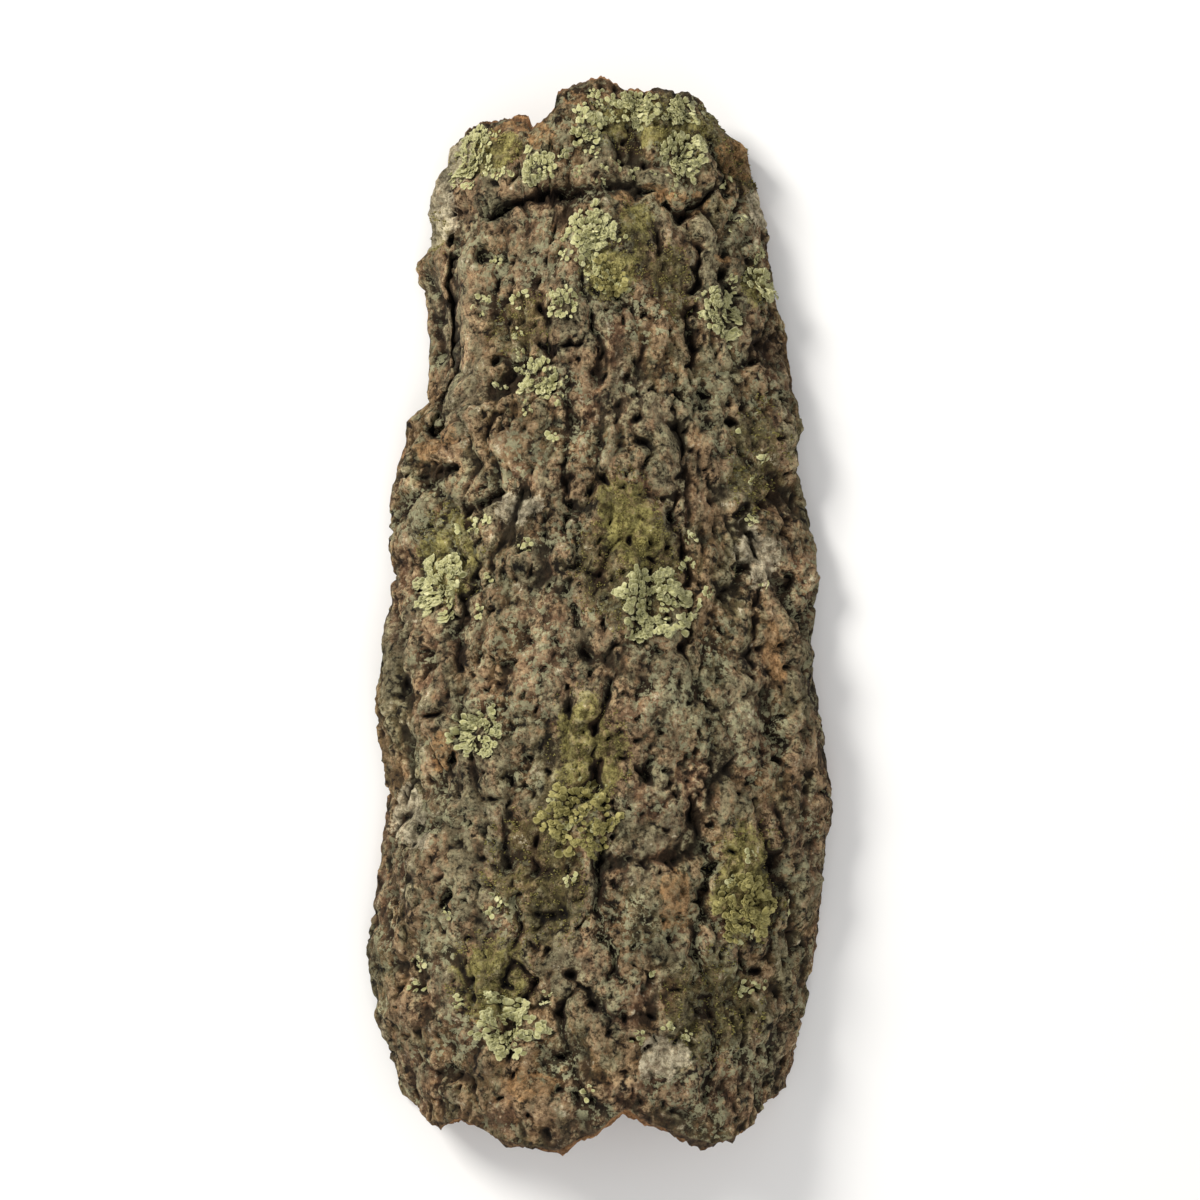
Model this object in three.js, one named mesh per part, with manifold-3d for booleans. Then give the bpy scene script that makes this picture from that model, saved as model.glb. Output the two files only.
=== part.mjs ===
// A slab of virgin cork bark, lying on its two long edges with the rough outer side up.
//
// Units are millimetres. +Y runs up the trunk that the bark grew on, +X across it, and +Z away from
// the wood. The origin is the middle of the slab's box, at the level of the table that it lies on.
//
// The bark is one closed surface: a rough outer face, a smooth inner face and a broken rim between
// them, all worked out from the same arch. The lichens that grow on it are thin lobed crusts.

import * as THREE from "three";
import { mergeVertices } from "three/addons/utils/BufferGeometryUtils.js";
import Module from "manifold-3d";

// The arch of the trunk.
const ARCH_ANGLE = THREE.MathUtils.degToRad(64);
const HALF_WIDTH = 80;
const FLARE = 0.062;
const ARCH_CENTRE = 1;
const BOW = 6;
const HALF_LENGTH = 215;
const ARC_RADIUS = HALF_WIDTH / Math.sin(ARCH_ANGLE);

// The cork's thickness at its middle and at its broken edges.
const THICKNESS = 19;
const EDGE_THICKNESS = 14;

// How far in from the rim the relief is lower, its share at the rim, and how far the rim drops.
const RIM_SETBACK = 14;
const RIM_RELIEF = 0.3;
const RIM_DROP = 2;

// How far the broken rim bulges out between the two faces, and how much that varies.
const RIM_BULGE = 1.6;
const RIM_JAG = 2.4;

// The height of each kind of relief on the outer face.
const SWELL_HEIGHT = 3.5;
const ROLL_HEIGHT = 2.6;
const FISSURE_DEPTH = 3.6;
const PLATE_HEIGHT = 2.6;
const KNOB_HEIGHT = 1.6;
const CALM_SHARE = 0.3;

// How far a placed crack or pit strays from its line.
const STRAY = 1.6;

// The height of each kind of relief on the inner face.
const INNER_SWELL = 2;
const INNER_ROLL = 1.6;
const INNER_GRAIN = 0.8;

// Where the slab lies: the level at which its lowest spots are worn flat, and the middle of its box.
const FLOOR_LEVEL = -3.9;
const BOX_CENTRE_X = 2.3;
const BOX_CENTRE_Y = 0;

// The grid of the outer face. The inner face has every second line of it.
const COLUMNS = 40;
const ROWS = 80;
const INNER_STEP = 2;
const RIM_LAYERS = 2;
const CELL = (2 * HALF_LENGTH) / ROWS;

const GAP = 0.3;

// Edges of a cut that are shorter than this are merged away.
const SLIVER = 0.05;

// The long edges, as [x, y] from the upper end to the lower one.
const LEFT_EDGE = [
  [-63, 196], [-64, 184], [-71, 175], [-72, 166], [-71, 154], [-78, 146], [-76, 136], [-74, 127],
  [-74, 118], [-73, 107], [-72, 93], [-73, 87], [-80, 79], [-81, 68], [-85, 61], [-86, 53],
  [-88, 38], [-85, 12], [-90, -20], [-92, -48], [-87, -80], [-91, -112], [-95, -140], [-92, -166],
  [-84, -188], [-79, -200],
];
const RIGHT_EDGE = [
  [59, 200], [64, 193], [67, 183], [71, 176], [76, 161], [76, 149], [78, 140], [77, 133],
  [81, 124], [83, 115], [82, 106], [85, 92], [88, 76], [86, 60], [90, 38], [94, 12],
  [91, -15], [95, -48], [99, -80], [95, -110], [92, -142], [87, -172], [79, -196],
];

// The broken ends, as [share of the width, y] from left to right.
const UPPER_END = [
  [0, 195], [0.043, 198], [0.097, 201], [0.181, 200], [0.278, 198], [0.291, 193], [0.327, 196],
  [0.369, 202], [0.374, 208], [0.423, 211], [0.513, 215], [0.591, 210], [0.664, 210], [0.82, 211],
  [0.876, 206], [0.94, 202], [1, 200],
];
const LOWER_END = [
  [0, -198], [0.08, -207], [0.2, -204], [0.3, -212], [0.42, -215], [0.5, -208], [0.56, -199],
  [0.63, -206], [0.75, -214], [0.86, -208], [0.94, -200], [1, -195],
];

// Broad swellings of the outer face: [x, y, half width, half length, height].
const SWELLINGS = [
  [12, 190, 46, 20, 6], [4, 138, 26, 26, 5], [-52, 118, 8, 30, 3], [58, 190, 12, 12, 3],
  [-40, 66, 26, 16, 4], [58, 118, 20, 34, 3], [20, 62, 30, 30, 4], [-20, -30, 34, 44, 6],
  [52, -60, 26, 50, 5], [-60, -120, 24, 46, 4], [10, -160, 36, 34, 5], [-72, 120, 9, 40, -5],
];

// Places where the bark is smoother than elsewhere: [x, y, half width, half length].
const CALM_PLACES = [
  [-54, 116, 9, 40], [12, 148, 15, 22], [-66, 118, 7, 38], [30, 130, 9, 18],
];

// Cracks, as a depth, a half width and a line. A negative depth is a raised rib.
const CRACKS = [
  [12, 3.2, [[-57, 152], [-59, 134], [-59, 112], [-60, 95], [-64, 85], [-67, 74]]],
  [8, 2.4, [[-42, 158], [-30, 163], [-16, 166]]],
  [5, 3, [[-16, 166], [4, 168], [18, 168]]],
  [9, 2.6, [[22, 167], [29, 163], [35, 158], [41, 164], [47, 172]]],
  [8, 2.4, [[40, 144], [40, 130], [37, 118], [39, 104]]],
  [5, 2, [[46, 192], [49, 182], [55, 172]]],
  [6, 1.8, [[-22, 103], [-14, 101], [-4, 104]]],
  [6, 2, [[-77, 55], [-66, 55], [-57, 57]]],
  [6, 2, [[-70, 49], [-62, 51], [-55, 56]]],
  [5, 1.8, [[-76, 128], [-70, 120], [-70, 104]]],
  [-4, 4, [[-51, 140], [-51, 118], [-51, 96]]],
  [-4, 3.4, [[-80, 74], [-66, 82], [-50, 90], [-34, 101]]],
  [-4.5, 4, [[-68, 60], [-54, 73], [-38, 80]]],
  [-4, 4, [[-34, 169], [-14, 174], [6, 176], [24, 173], [32, 167]]],
  [5, 2.2, [[-14, 88], [-8, 70], [-12, 48], [-4, 26], [-10, 2], [-2, -22]]],
  [6, 2.4, [[30, 84], [36, 60], [30, 34], [38, 8], [34, -20], [42, -48]]],
  [5, 2.2, [[-52, 40], [-46, 14], [-54, -14], [-48, -42], [-56, -70]]],
  [6, 2.4, [[6, -34], [-2, -62], [6, -92], [0, -122], [10, -150]]],
  [5, 2.2, [[62, 40], [66, 10], [60, -22], [68, -52]]],
  [5, 2.2, [[-30, -70], [-36, -100], [-28, -130], [-36, -160], [-30, -186]]],
  [6, 2.4, [[36, -74], [44, -104], [38, -136], [46, -168], [42, -196]]],
  [4.5, 2, [[70, -84], [74, -112], [68, -142]]],
  [4.5, 2, [[-70, -90], [-74, -118], [-68, -150]]],
];

// Open pits where the cork has rotted or been bored: [x, y, long radius, short radius, turn, depth].
const PITS = [
  [-44, 143, 3.6, 2.8, 1.4, 8], [-36, 162, 4.6, 2.6, 0.4, 8], [-40, 98, 3.6, 2.4, 0.9, 8],
  [-64, 73, 5, 2.6, 0.6, 8], [50, 136, 3.4, 2.8, 0.3, 8], [34, 157, 4, 3, 0.8, 8],
  [-40, 130, 2.8, 2, 1.1, 6], [-22, 117, 3.2, 2.2, 1.9, 6], [-35, 114, 2.8, 2, 0.2, 5],
  [-57, 173, 2.6, 2.2, 0, 5], [62, 152, 2.6, 2, 1.2, 5], [64, 100, 3.2, 2.4, 0.5, 6],
];

// The pits that are strewn by chance over the rest of the slab.
const STREWN_PITS = 46;
const STREWN_SEED = 5;

// The lichens: a colour, the middle as [x, y] and a radius.
const LICHENS = [
  ["pale", [-50, 188], 12],
  ["pale", [17, 204], 11],
  ["pale", [36, 203], 7],
  ["pale", [-22, 176], 8],
  ["pale", [-2, 192], 8],
  ["pale", [35, 183], 10],
  ["pale", [-1, 149], 9.5],
  ["pale", [-12, 118], 6],
  ["pale", [50, 118], 10],
  ["pale", [-22, 89], 8],
  ["pale", [67, 134], 8],
  ["pale", [-62, 8], 13],
  ["pale", [24, -2], 16],
  ["pale", [-44, -54], 11],
  ["pale", [-34, -168], 12],
  ["yellow", [6, 130], 8],
  ["yellow", [-6, -88], 14],
  ["yellow", [58, -122], 12],
];
const LICHEN_THICKNESS = 1.8;
const LICHEN_LOBES = 6;
const LICHEN_SPOKES = 24;
const LICHEN_ROOT = 5;

// How much a lichen's outline wavers, how deep its lobes are cut, and how much they ruffle.
const LICHEN_WAVER = 0.25;
const LICHEN_NOTCH = 0.14;
const LICHEN_RUFFLE = 0.4;

const lerp = THREE.MathUtils.lerp;
const smoothstep = THREE.MathUtils.smoothstep;

// Noise

// A number from 0 to 1 for a point of a lattice, the same on every run.
function chance(i, j, seed) {
  const mixed = Math.imul(i, 374761393) + Math.imul(j, 668265263) + Math.imul(seed, 974634777);
  const scrambled = Math.imul(mixed ^ (mixed >>> 13), 1274126177);
  return ((scrambled ^ (scrambled >>> 16)) >>> 0) / 4294967296;
}

// Smooth waves from about -1 to 1, one lattice unit long.
function waves(x, y, seed) {
  const i = Math.floor(x);
  const j = Math.floor(y);
  const corner = (di, dj) => {
    const turn = 2 * Math.PI * chance(i + di, j + dj, seed);
    return Math.cos(turn) * (x - i - di) + Math.sin(turn) * (y - j - dj);
  };
  const across = THREE.MathUtils.smootherstep(x - i, 0, 1);
  const along = THREE.MathUtils.smootherstep(y - j, 0, 1);
  const low = lerp(corner(0, 0), corner(1, 0), across);
  const high = lerp(corner(0, 1), corner(1, 1), across);
  return 1.5 * lerp(low, high, along);
}

// The shape of the slab

// The value at `at` of a line of [position, value] pairs, in either order of position.
function along(line, at) {
  const rising = line[0][0] < line[line.length - 1][0] ? line : [...line].reverse();
  const after = rising.findIndex(([position]) => position >= at);
  if (after === 0) return rising[0][1];
  if (after < 0) return rising[rising.length - 1][1];
  const [from, start] = rising[after - 1];
  const [to, end] = rising[after];
  return lerp(start, end, (at - from) / (to - from));
}

const swapped = (line) => line.map(([x, y]) => [y, x]);
const LEFT_BY_Y = swapped(LEFT_EDGE);
const RIGHT_BY_Y = swapped(RIGHT_EDGE);

const halfWidthAt = (y) => HALF_WIDTH - FLARE * y;

// The smooth arch under the bark's relief: a point on it, by the angle round the trunk and by y.
function archPoint(angle, y) {
  const half = halfWidthAt(y);
  const radius = half / Math.sin(ARCH_ANGLE);
  const edge =
    angle < 0
      ? along(LEFT_BY_Y, y) - (ARCH_CENTRE - half)
      : along(RIGHT_BY_Y, y) - (ARCH_CENTRE + half);
  const reach = smoothstep(Math.abs(angle) / ARCH_ANGLE, 0.45, 1);
  return new THREE.Vector3(
    ARCH_CENTRE + radius * Math.sin(angle) + edge * reach,
    y,
    radius * (Math.cos(angle) - Math.cos(ARCH_ANGLE)) + BOW * (1 - (y / HALF_LENGTH) ** 2),
  );
}

const outward = (angle) => new THREE.Vector3(Math.sin(angle), 0, Math.cos(angle));

// The shortest way from a point to a line of points.
function distanceTo(line, x, y) {
  let least = Infinity;
  for (let k = 1; k < line.length; k++) {
    const [ax, ay] = line[k - 1];
    const [bx, by] = line[k];
    const share = ((x - ax) * (bx - ax) + (y - ay) * (by - ay)) / ((bx - ax) ** 2 + (by - ay) ** 2);
    const held = THREE.MathUtils.clamp(share, 0, 1);
    least = Math.min(least, Math.hypot(x - lerp(ax, bx, held), y - lerp(ay, by, held)));
  }
  return least;
}

// The pits of the list and those strewn by chance.
function allPits() {
  const pits = [...PITS];
  for (let k = 0; k < STREWN_PITS; k++) {
    const pick = (which) => chance(k, which, STREWN_SEED);
    pits.push([
      lerp(-78, 82, pick(0)), lerp(-200, 84, pick(1)), lerp(2.4, 4.6, pick(2)),
      lerp(1.8, 3, pick(3)), Math.PI * pick(4), lerp(4, 8, pick(5)),
    ]);
  }
  return pits;
}
const ALL_PITS = allPits();

// A crack or a pit can't be narrower than the grid that draws it.
const drawn = (width) => Math.hypot(width, CELL / 2.5);

// How far the placed swellings raise the outer face, seen from above at x, y.
function swellingAt(x, y) {
  let height = 0;
  for (const [sx, sy, across, up, rise] of SWELLINGS) {
    height += rise * Math.exp(-(((x - sx) / across) ** 2) - ((y - sy) / up) ** 2);
  }
  return height;
}

// How deep the cracks and the pits are cut, straight down, seen from above at x, y.
function cutDepth(x, y) {
  let cut = 0;
  const wx = x + STRAY * waves(x / 9, y / 9, 61);
  const wy = y + STRAY * waves(x / 9, y / 9, 62);
  for (const [depth, width, line] of CRACKS) {
    cut += depth * Math.exp(-((distanceTo(line, wx, wy) / drawn(width)) ** 2));
  }
  for (const [px, py, long, short, turn, depth] of ALL_PITS) {
    const dx = wx - px;
    const dy = wy - py;
    const u = (dx * Math.cos(turn) + dy * Math.sin(turn)) / drawn(long);
    const v = (dy * Math.cos(turn) - dx * Math.sin(turn)) / drawn(short);
    cut += depth * Math.exp(-((u * u + v * v) ** 1.5));
  }
  return cut;
}

// How much smoother than elsewhere the bark is at a place seen from above, from 0 to 1.
function calmness(x, y) {
  let calm = 0;
  for (const [px, py, across, up] of CALM_PLACES) {
    calm = Math.max(calm, Math.exp(-(((x - px) / across) ** 4) - ((y - py) / up) ** 4));
  }
  return calm;
}

// How high the cork stands off the arch, by arc length round the trunk and by y: broad waves, long
// ridges with fissures between them, plates with stepped edges, and lumps.
function corkRelief(arc, y, calm) {
  const wa = arc + 7 * waves(arc / 27, y / 36, 11) + 2.6 * waves(arc / 10, y / 13, 12);
  const wy = y + 9 * waves(arc / 30, y / 34, 13) + 3 * waves(arc / 11, y / 14, 14);
  const fissured = smoothstep(waves(arc / 34, y / 50, 15), -0.45, 0.35);
  const lumpy = smoothstep(waves(arc / 26, y / 32, 16), -0.4, 0.4);
  const swell = SWELL_HEIGHT * waves(arc / 60, y / 70, 1) + ROLL_HEIGHT * waves(wa / 21, wy / 30, 17);
  const ridges = smoothstep(Math.abs(waves(wa / 23, wy / 52, 21)), 0, 0.24) - 0.9;
  const cracked = FISSURE_DEPTH * lerp(0.1, 1, fissured) * ridges;
  const plates = PLATE_HEIGHT * (smoothstep(waves(wa / 15, wy / 22, 31), -0.3, 0.3) - 0.5);
  const knobs = KNOB_HEIGHT * lerp(0.3, 1, lumpy) * waves(wa / 9, wy / 11, 32);
  return swell + (cracked + plates + knobs) * lerp(1, CALM_SHARE, calm);
}

// How far a place is from the slab's rim, from 0 at it to 1 some way in.
function inward(angle, run) {
  const side = (ARCH_ANGLE - Math.abs(angle)) * ARC_RADIUS;
  const end = Math.min(run, 1 - run) * 2 * HALF_LENGTH;
  return smoothstep(Math.min(side, end), 0, RIM_SETBACK);
}

// The y of a place on the slab, by its share of the width and of the length.
function rowAt(share, run) {
  return lerp(along(LOWER_END, share), along(UPPER_END, share), run);
}

const angleAt = (share) => lerp(-ARCH_ANGLE, ARCH_ANGLE, share);
const widthShare = (angle) => (1 + Math.sin(angle) / Math.sin(ARCH_ANGLE)) / 2;

function outerPoint(share, run) {
  const angle = angleAt(share);
  const y = rowAt(widthShare(angle), run);
  const foot = archPoint(angle, y);
  const held = inward(angle, run);
  const reliefShare = lerp(RIM_RELIEF, 1, held);
  const relief = corkRelief(angle * ARC_RADIUS, y, calmness(foot.x, y)) + swellingAt(foot.x, y);
  const cut = cutDepth(foot.x, y) * reliefShare;
  const point = foot.addScaledVector(outward(angle), relief * reliefShare - RIM_DROP * (1 - held));
  return point.setZ(point.z - cut);
}

function innerPoint(share, run) {
  const angle = angleAt(share);
  const y = rowAt(widthShare(angle), run);
  const arc = angle * ARC_RADIUS;
  const held = inward(angle, run);
  const swell = INNER_SWELL * waves(arc / 40, y / 60, 41);
  const thickness = lerp(EDGE_THICKNESS, THICKNESS, held) + swell;
  const grain = INNER_GRAIN * waves(arc / 9, y / 50, 42) + INNER_ROLL * waves(arc / 28, y / 45, 43);
  return archPoint(angle, y).addScaledVector(outward(angle), -thickness - grain * held);
}

// A point of the broken rim, a share of the way from the outer face to the inner one. `side` and
// `end` say which way out is: -1, 0 or 1 across the slab and along it.
function rimPoint(share, run, depth, side, end) {
  const point = outerPoint(share, run).lerp(innerPoint(share, run), depth);
  const angle = angleAt(share);
  const out = new THREE.Vector3(side * Math.cos(angle), end, -side * Math.sin(angle)).normalize();
  const jag = RIM_BULGE + RIM_JAG * waves(angle * 9, point.y / 14 + 3 * depth, 51);
  return point.addScaledVector(out, jag * Math.sin(Math.PI * Math.min(depth, 0.8)));
}

// Building the meshes

// The grid's rim as a ring of [column, row, side, end], counterclockwise from above.
function ring() {
  const places = [];
  for (let c = 0; c < COLUMNS; c++) places.push([c, 0, c === 0 ? -1 : 0, -1]);
  for (let r = 0; r < ROWS; r++) places.push([COLUMNS, r, 1, r === 0 ? -1 : 0]);
  for (let c = COLUMNS; c > 0; c--) places.push([c, ROWS, c === COLUMNS ? 1 : 0, 1]);
  for (let r = ROWS; r > 0; r--) places.push([0, r, -1, r === ROWS ? 1 : 0]);
  return places;
}

// The bark as one closed geometry, with the outer face moved by a lift that depends on the angle.
function barkGeometry(lift) {
  const points = [];
  const faces = [];
  const add = (point) => points.push(point) - 1;
  const quad = (a, b, c, d) => faces.push(a, b, c, a, c, d);

  const outer = (c, r) => c + r * (COLUMNS + 1);
  for (let r = 0; r <= ROWS; r++) {
    for (let c = 0; c <= COLUMNS; c++) {
      add(outerPoint(c / COLUMNS, r / ROWS).add(lift(angleAt(c / COLUMNS))));
    }
  }
  for (let r = 0; r < ROWS; r++) {
    for (let c = 0; c < COLUMNS; c++) {
      quad(outer(c, r), outer(c + 1, r), outer(c + 1, r + 1), outer(c, r + 1));
    }
  }

  const innerAt = new Map();
  for (let r = 0; r <= ROWS; r += INNER_STEP) {
    for (let c = 0; c <= COLUMNS; c += INNER_STEP) {
      innerAt.set(outer(c, r), add(innerPoint(c / COLUMNS, r / ROWS)));
    }
  }
  const inner = (c, r) => innerAt.get(outer(c, r));
  for (let r = 0; r < ROWS; r += INNER_STEP) {
    for (let c = 0; c < COLUMNS; c += INNER_STEP) {
      const [c2, r2] = [c + INNER_STEP, r + INNER_STEP];
      quad(inner(c, r), inner(c, r2), inner(c2, r2), inner(c2, r));
    }
  }

  const edge = ring();
  let above = edge.map(([c, r]) => outer(c, r));
  for (let layer = 1; layer <= RIM_LAYERS; layer++) {
    const depth = layer / (RIM_LAYERS + 1);
    const below = edge.map(([c, r, side, end]) =>
      add(rimPoint(c / COLUMNS, r / ROWS, depth, side, end)),
    );
    edge.forEach((_, k) => {
      const next = (k + 1) % edge.length;
      quad(above[k], below[k], below[next], above[next]);
    });
    above = below;
  }
  for (let k = 0; k < edge.length; k += INNER_STEP) {
    const far = (k + INNER_STEP) % edge.length;
    const middle = k + INNER_STEP / 2;
    const from = inner(edge[k][0], edge[k][1]);
    const to = inner(edge[far][0], edge[far][1]);
    faces.push(above[k], from, above[middle]);
    faces.push(from, to, above[middle]);
    faces.push(above[middle], to, above[far]);
  }
  return closedGeometry(points, faces);
}

function closedGeometry(points, faces) {
  const geometry = new THREE.BufferGeometry().setFromPoints(points);
  geometry.setIndex(faces);
  return geometry;
}

// Everything below the table's level, as a block to cut away.
function tableBlock() {
  const [wide, long, deep] = [300, 600, 60];
  return new THREE.BoxGeometry(wide, long, deep).translate(0, 0, FLOOR_LEVEL - deep / 2);
}

// The angle round the trunk at which the arch is x across, at y.
function angleOver(x, y) {
  let low = -ARCH_ANGLE;
  let high = ARCH_ANGLE;
  for (let k = 0; k < 24; k++) {
    const middle = (low + high) / 2;
    if (archPoint(middle, y).x < x) low = middle;
    else high = middle;
  }
  return (low + high) / 2;
}

// A lichen as a lobed rosette on the bark, with a root that reaches into it, to be cut off there.
function lichenGeometry(bark, [x, y], radius, seed) {
  const middle = angleOver(x, y);
  const ray = new THREE.Raycaster();
  const points = [];
  const faces = [];

  const addOver = (angle, py, height) => {
    const out = outward(angle);
    ray.set(archPoint(angle, py).addScaledVector(out, 2 * THICKNESS), out.clone().negate());
    const [hit] = ray.intersectObject(bark);
    points.push((hit?.point ?? archPoint(angle, py)).clone().addScaledVector(out, height));
  };
  // A ring of points, a share of the way to the lichen's edge.
  const addRing = (share, height) => {
    for (let spoke = 0; spoke < LICHEN_SPOKES; spoke++) {
      const way = (2 * Math.PI * spoke) / LICHEN_SPOKES;
      const lobe = Math.cos(LICHEN_LOBES * way);
      const uneven = LICHEN_WAVER * waves(1.3 * Math.cos(way), 1.3 * Math.sin(way), seed);
      const reach = share * radius * (1 + uneven + LICHEN_NOTCH * share * lobe);
      const angle = middle + (reach * Math.cos(way)) / ARC_RADIUS;
      addOver(angle, y + reach * Math.sin(way), height + LICHEN_RUFFLE * share * lobe);
    }
  };

  addOver(middle, y, GAP + LICHEN_THICKNESS);
  addRing(0.55, GAP + LICHEN_THICKNESS);
  addRing(1, GAP + 0.7 * LICHEN_THICKNESS);
  addRing(1, -LICHEN_ROOT);
  addOver(middle, y, -LICHEN_ROOT);

  const at = (ring, spoke) => 1 + ring * LICHEN_SPOKES + (spoke % LICHEN_SPOKES);
  for (let spoke = 0; spoke < LICHEN_SPOKES; spoke++) {
    faces.push(0, at(0, spoke), at(0, spoke + 1));
    for (let ring = 0; ring < 2; ring++) {
      faces.push(at(ring, spoke), at(ring + 1, spoke), at(ring + 1, spoke + 1));
      faces.push(at(ring, spoke), at(ring + 1, spoke + 1), at(ring, spoke + 1));
    }
    faces.push(points.length - 1, at(2, spoke + 1), at(2, spoke));
  }
  return closedGeometry(points, faces);
}

const wasm = await Module();
wasm.setup();

// A closed geometry as a solid that can be joined or cut.
function solid(geometry) {
  const plain = new THREE.BufferGeometry();
  plain.setAttribute("position", geometry.getAttribute("position"));
  plain.setIndex(geometry.index);
  const merged = mergeVertices(plain, 1e-4);
  return new wasm.Manifold(
    new wasm.Mesh({
      numProp: 3,
      vertProperties: new Float32Array(merged.attributes.position.array),
      triVerts: new Uint32Array(merged.index.array),
    }),
  );
}

function geometryOf(made) {
  const mesh = made.getMesh();
  const geometry = new THREE.BufferGeometry();
  geometry.setAttribute("position", new THREE.BufferAttribute(mesh.vertProperties, mesh.numProp));
  geometry.setIndex(new THREE.BufferAttribute(mesh.triVerts, 1));
  geometry.computeVertexNormals();
  return geometry;
}

// The biggest body of a solid, without the crumbs that a cut can leave.
function wholeOf(made) {
  return made.decompose().reduce((best, body) => (body.volume() > best.volume() ? body : best));
}

const BARK = new THREE.MeshStandardMaterial({ color: 0x6b5b4a, roughness: 0.95, metalness: 0 });
const LICHEN_COLOURS = {
  pale: new THREE.MeshStandardMaterial({ color: 0xb6b887, roughness: 0.9, metalness: 0 }),
  yellow: new THREE.MeshStandardMaterial({ color: 0xa79a4c, roughness: 0.9, metalness: 0 }),
};

function named(name, made, material) {
  const mesh = new THREE.Mesh(geometryOf(made), material);
  mesh.name = name;
  return mesh;
}

const slab = new THREE.Group();
slab.position.set(-BOX_CENTRE_X, -BOX_CENTRE_Y, -FLOOR_LEVEL);

const asItIs = barkGeometry(() => new THREE.Vector3());
const bark = solid(asItIs).subtract(solid(tableBlock()));
slab.add(named("bark_slab", bark, BARK));

// The bark lifted by the gap, both outward and straight up, to keep the lichens clear of it.
const outwardLift = (angle) => outward(angle).multiplyScalar(GAP);
const upwardLift = (angle) => new THREE.Vector3(0, 0, GAP / Math.cos(angle));
const standOff = solid(barkGeometry(outwardLift)).add(solid(barkGeometry(upwardLift)));
const target = new THREE.Mesh(asItIs, new THREE.MeshBasicMaterial({ side: THREE.DoubleSide }));
const counts = { pale: 0, yellow: 0 };
LICHENS.forEach(([colour, place, radius], k) => {
  counts[colour] += 1;
  const pad = solid(lichenGeometry(target, place, radius, 80 + k)).subtract(standOff);
  const clean = wholeOf(pad).simplify(SLIVER);
  slab.add(named(`lichen_${colour}_${counts[colour]}`, clean, LICHEN_COLOURS[colour]));
});

export default slab;
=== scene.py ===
"""A slab of virgin cork bark, lying on its two long edges with the rough outer side up.

The bark is one surface: the rough back, the broken rim and the smooth belly are worked out from the
same arch and the same relief as the solid that they replace, on a grid of about 1 mm and with finer
lumps, cracks and layers. The leafy lichens stand where the solid ones do, as many thin lobes each.
Loose lobes and moss tufts grow between them. The thinnest films are only colour.
Sizes are in millimetres up to the point where a mesh is made. +Y runs up the trunk.
"""

import math

import bpy
import numpy as np
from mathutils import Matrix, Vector


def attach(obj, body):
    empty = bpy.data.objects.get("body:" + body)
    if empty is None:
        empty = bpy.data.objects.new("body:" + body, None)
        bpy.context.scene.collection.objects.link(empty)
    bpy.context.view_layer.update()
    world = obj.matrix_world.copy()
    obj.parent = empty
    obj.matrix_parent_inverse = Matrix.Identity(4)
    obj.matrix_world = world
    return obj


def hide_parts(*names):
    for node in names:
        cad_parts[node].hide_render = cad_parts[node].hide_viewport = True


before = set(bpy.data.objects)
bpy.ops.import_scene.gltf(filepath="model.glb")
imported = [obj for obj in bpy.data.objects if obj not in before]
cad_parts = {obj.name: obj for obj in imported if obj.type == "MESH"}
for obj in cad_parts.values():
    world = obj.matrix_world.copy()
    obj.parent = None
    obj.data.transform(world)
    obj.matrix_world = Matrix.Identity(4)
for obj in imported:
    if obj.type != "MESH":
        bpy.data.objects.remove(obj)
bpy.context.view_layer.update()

MM = 0.001

# The arch of the trunk, the bark's thickness and its relief, as in the solid.
ARCH_ANGLE = math.radians(64)
HALF_WIDTH = 80.0
FLARE = 0.062
ARCH_CENTRE = 1.0
BOW = 6.0
HALF_LENGTH = 215.0
ARC_RADIUS = HALF_WIDTH / math.sin(ARCH_ANGLE)
THICKNESS = 19.0
EDGE_THICKNESS = 14.0
RIM_SETBACK = 14.0
RIM_RELIEF = 0.3
RIM_DROP = 2.0
RIM_BULGE = 1.6
RIM_JAG = 2.4
SWELL_HEIGHT = 3.5
ROLL_HEIGHT = 2.6
FISSURE_DEPTH = 3.6
PLATE_HEIGHT = 2.6
KNOB_HEIGHT = 1.6
CALM_SHARE = 0.3
STRAY = 1.6
INNER_SWELL = 2.0
INNER_ROLL = 1.6
INNER_GRAIN = 0.8
FLOOR_LEVEL = -3.9
BOX_CENTRE_X = 2.3

# The finer forms, which the solid leaves out.
CRACK_SPREAD = 1.15
BRIDGED_SHARE = 0.6
FLAKE_HEIGHT = 1.1
SMALL_FLAKE_HEIGHT = 0.9
CRUMB_HEIGHT = 0.9
GRIT_HEIGHT = 0.6
STREAK_HEIGHT = 0.5
PORE_DEPTH = 4.5
CALM_CRUMBS = 0.4
RIM_CRUMBS = 0.6
LUMP_LEAN = 0.5
STEEPEST = 1.4
RIM_TEAR = 1.3
RIM_FRAY = 0.9
RIM_LEDGE = 1.6
BELLY_STREAK = 0.35
BELLY_GRAIN = 0.2

# The long edges, as (x, y) from the upper end to the lower one.
LEFT_EDGE = [
    (-63, 196), (-64, 184), (-71, 175), (-72, 166), (-71, 154), (-78, 146), (-76, 136), (-74, 127),
    (-74, 118), (-73, 107), (-72, 93), (-73, 87), (-80, 79), (-81, 68), (-85, 61), (-86, 53),
    (-88, 38), (-85, 12), (-90, -20), (-92, -48), (-87, -80), (-91, -112), (-95, -140), (-92, -166),
    (-84, -188), (-79, -200),
]
RIGHT_EDGE = [
    (59, 200), (64, 193), (67, 183), (71, 176), (76, 161), (76, 149), (78, 140), (77, 133),
    (81, 124), (83, 115), (82, 106), (85, 92), (88, 76), (86, 60), (90, 38), (94, 12),
    (91, -15), (95, -48), (99, -80), (95, -110), (92, -142), (87, -172), (79, -196),
]

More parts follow.
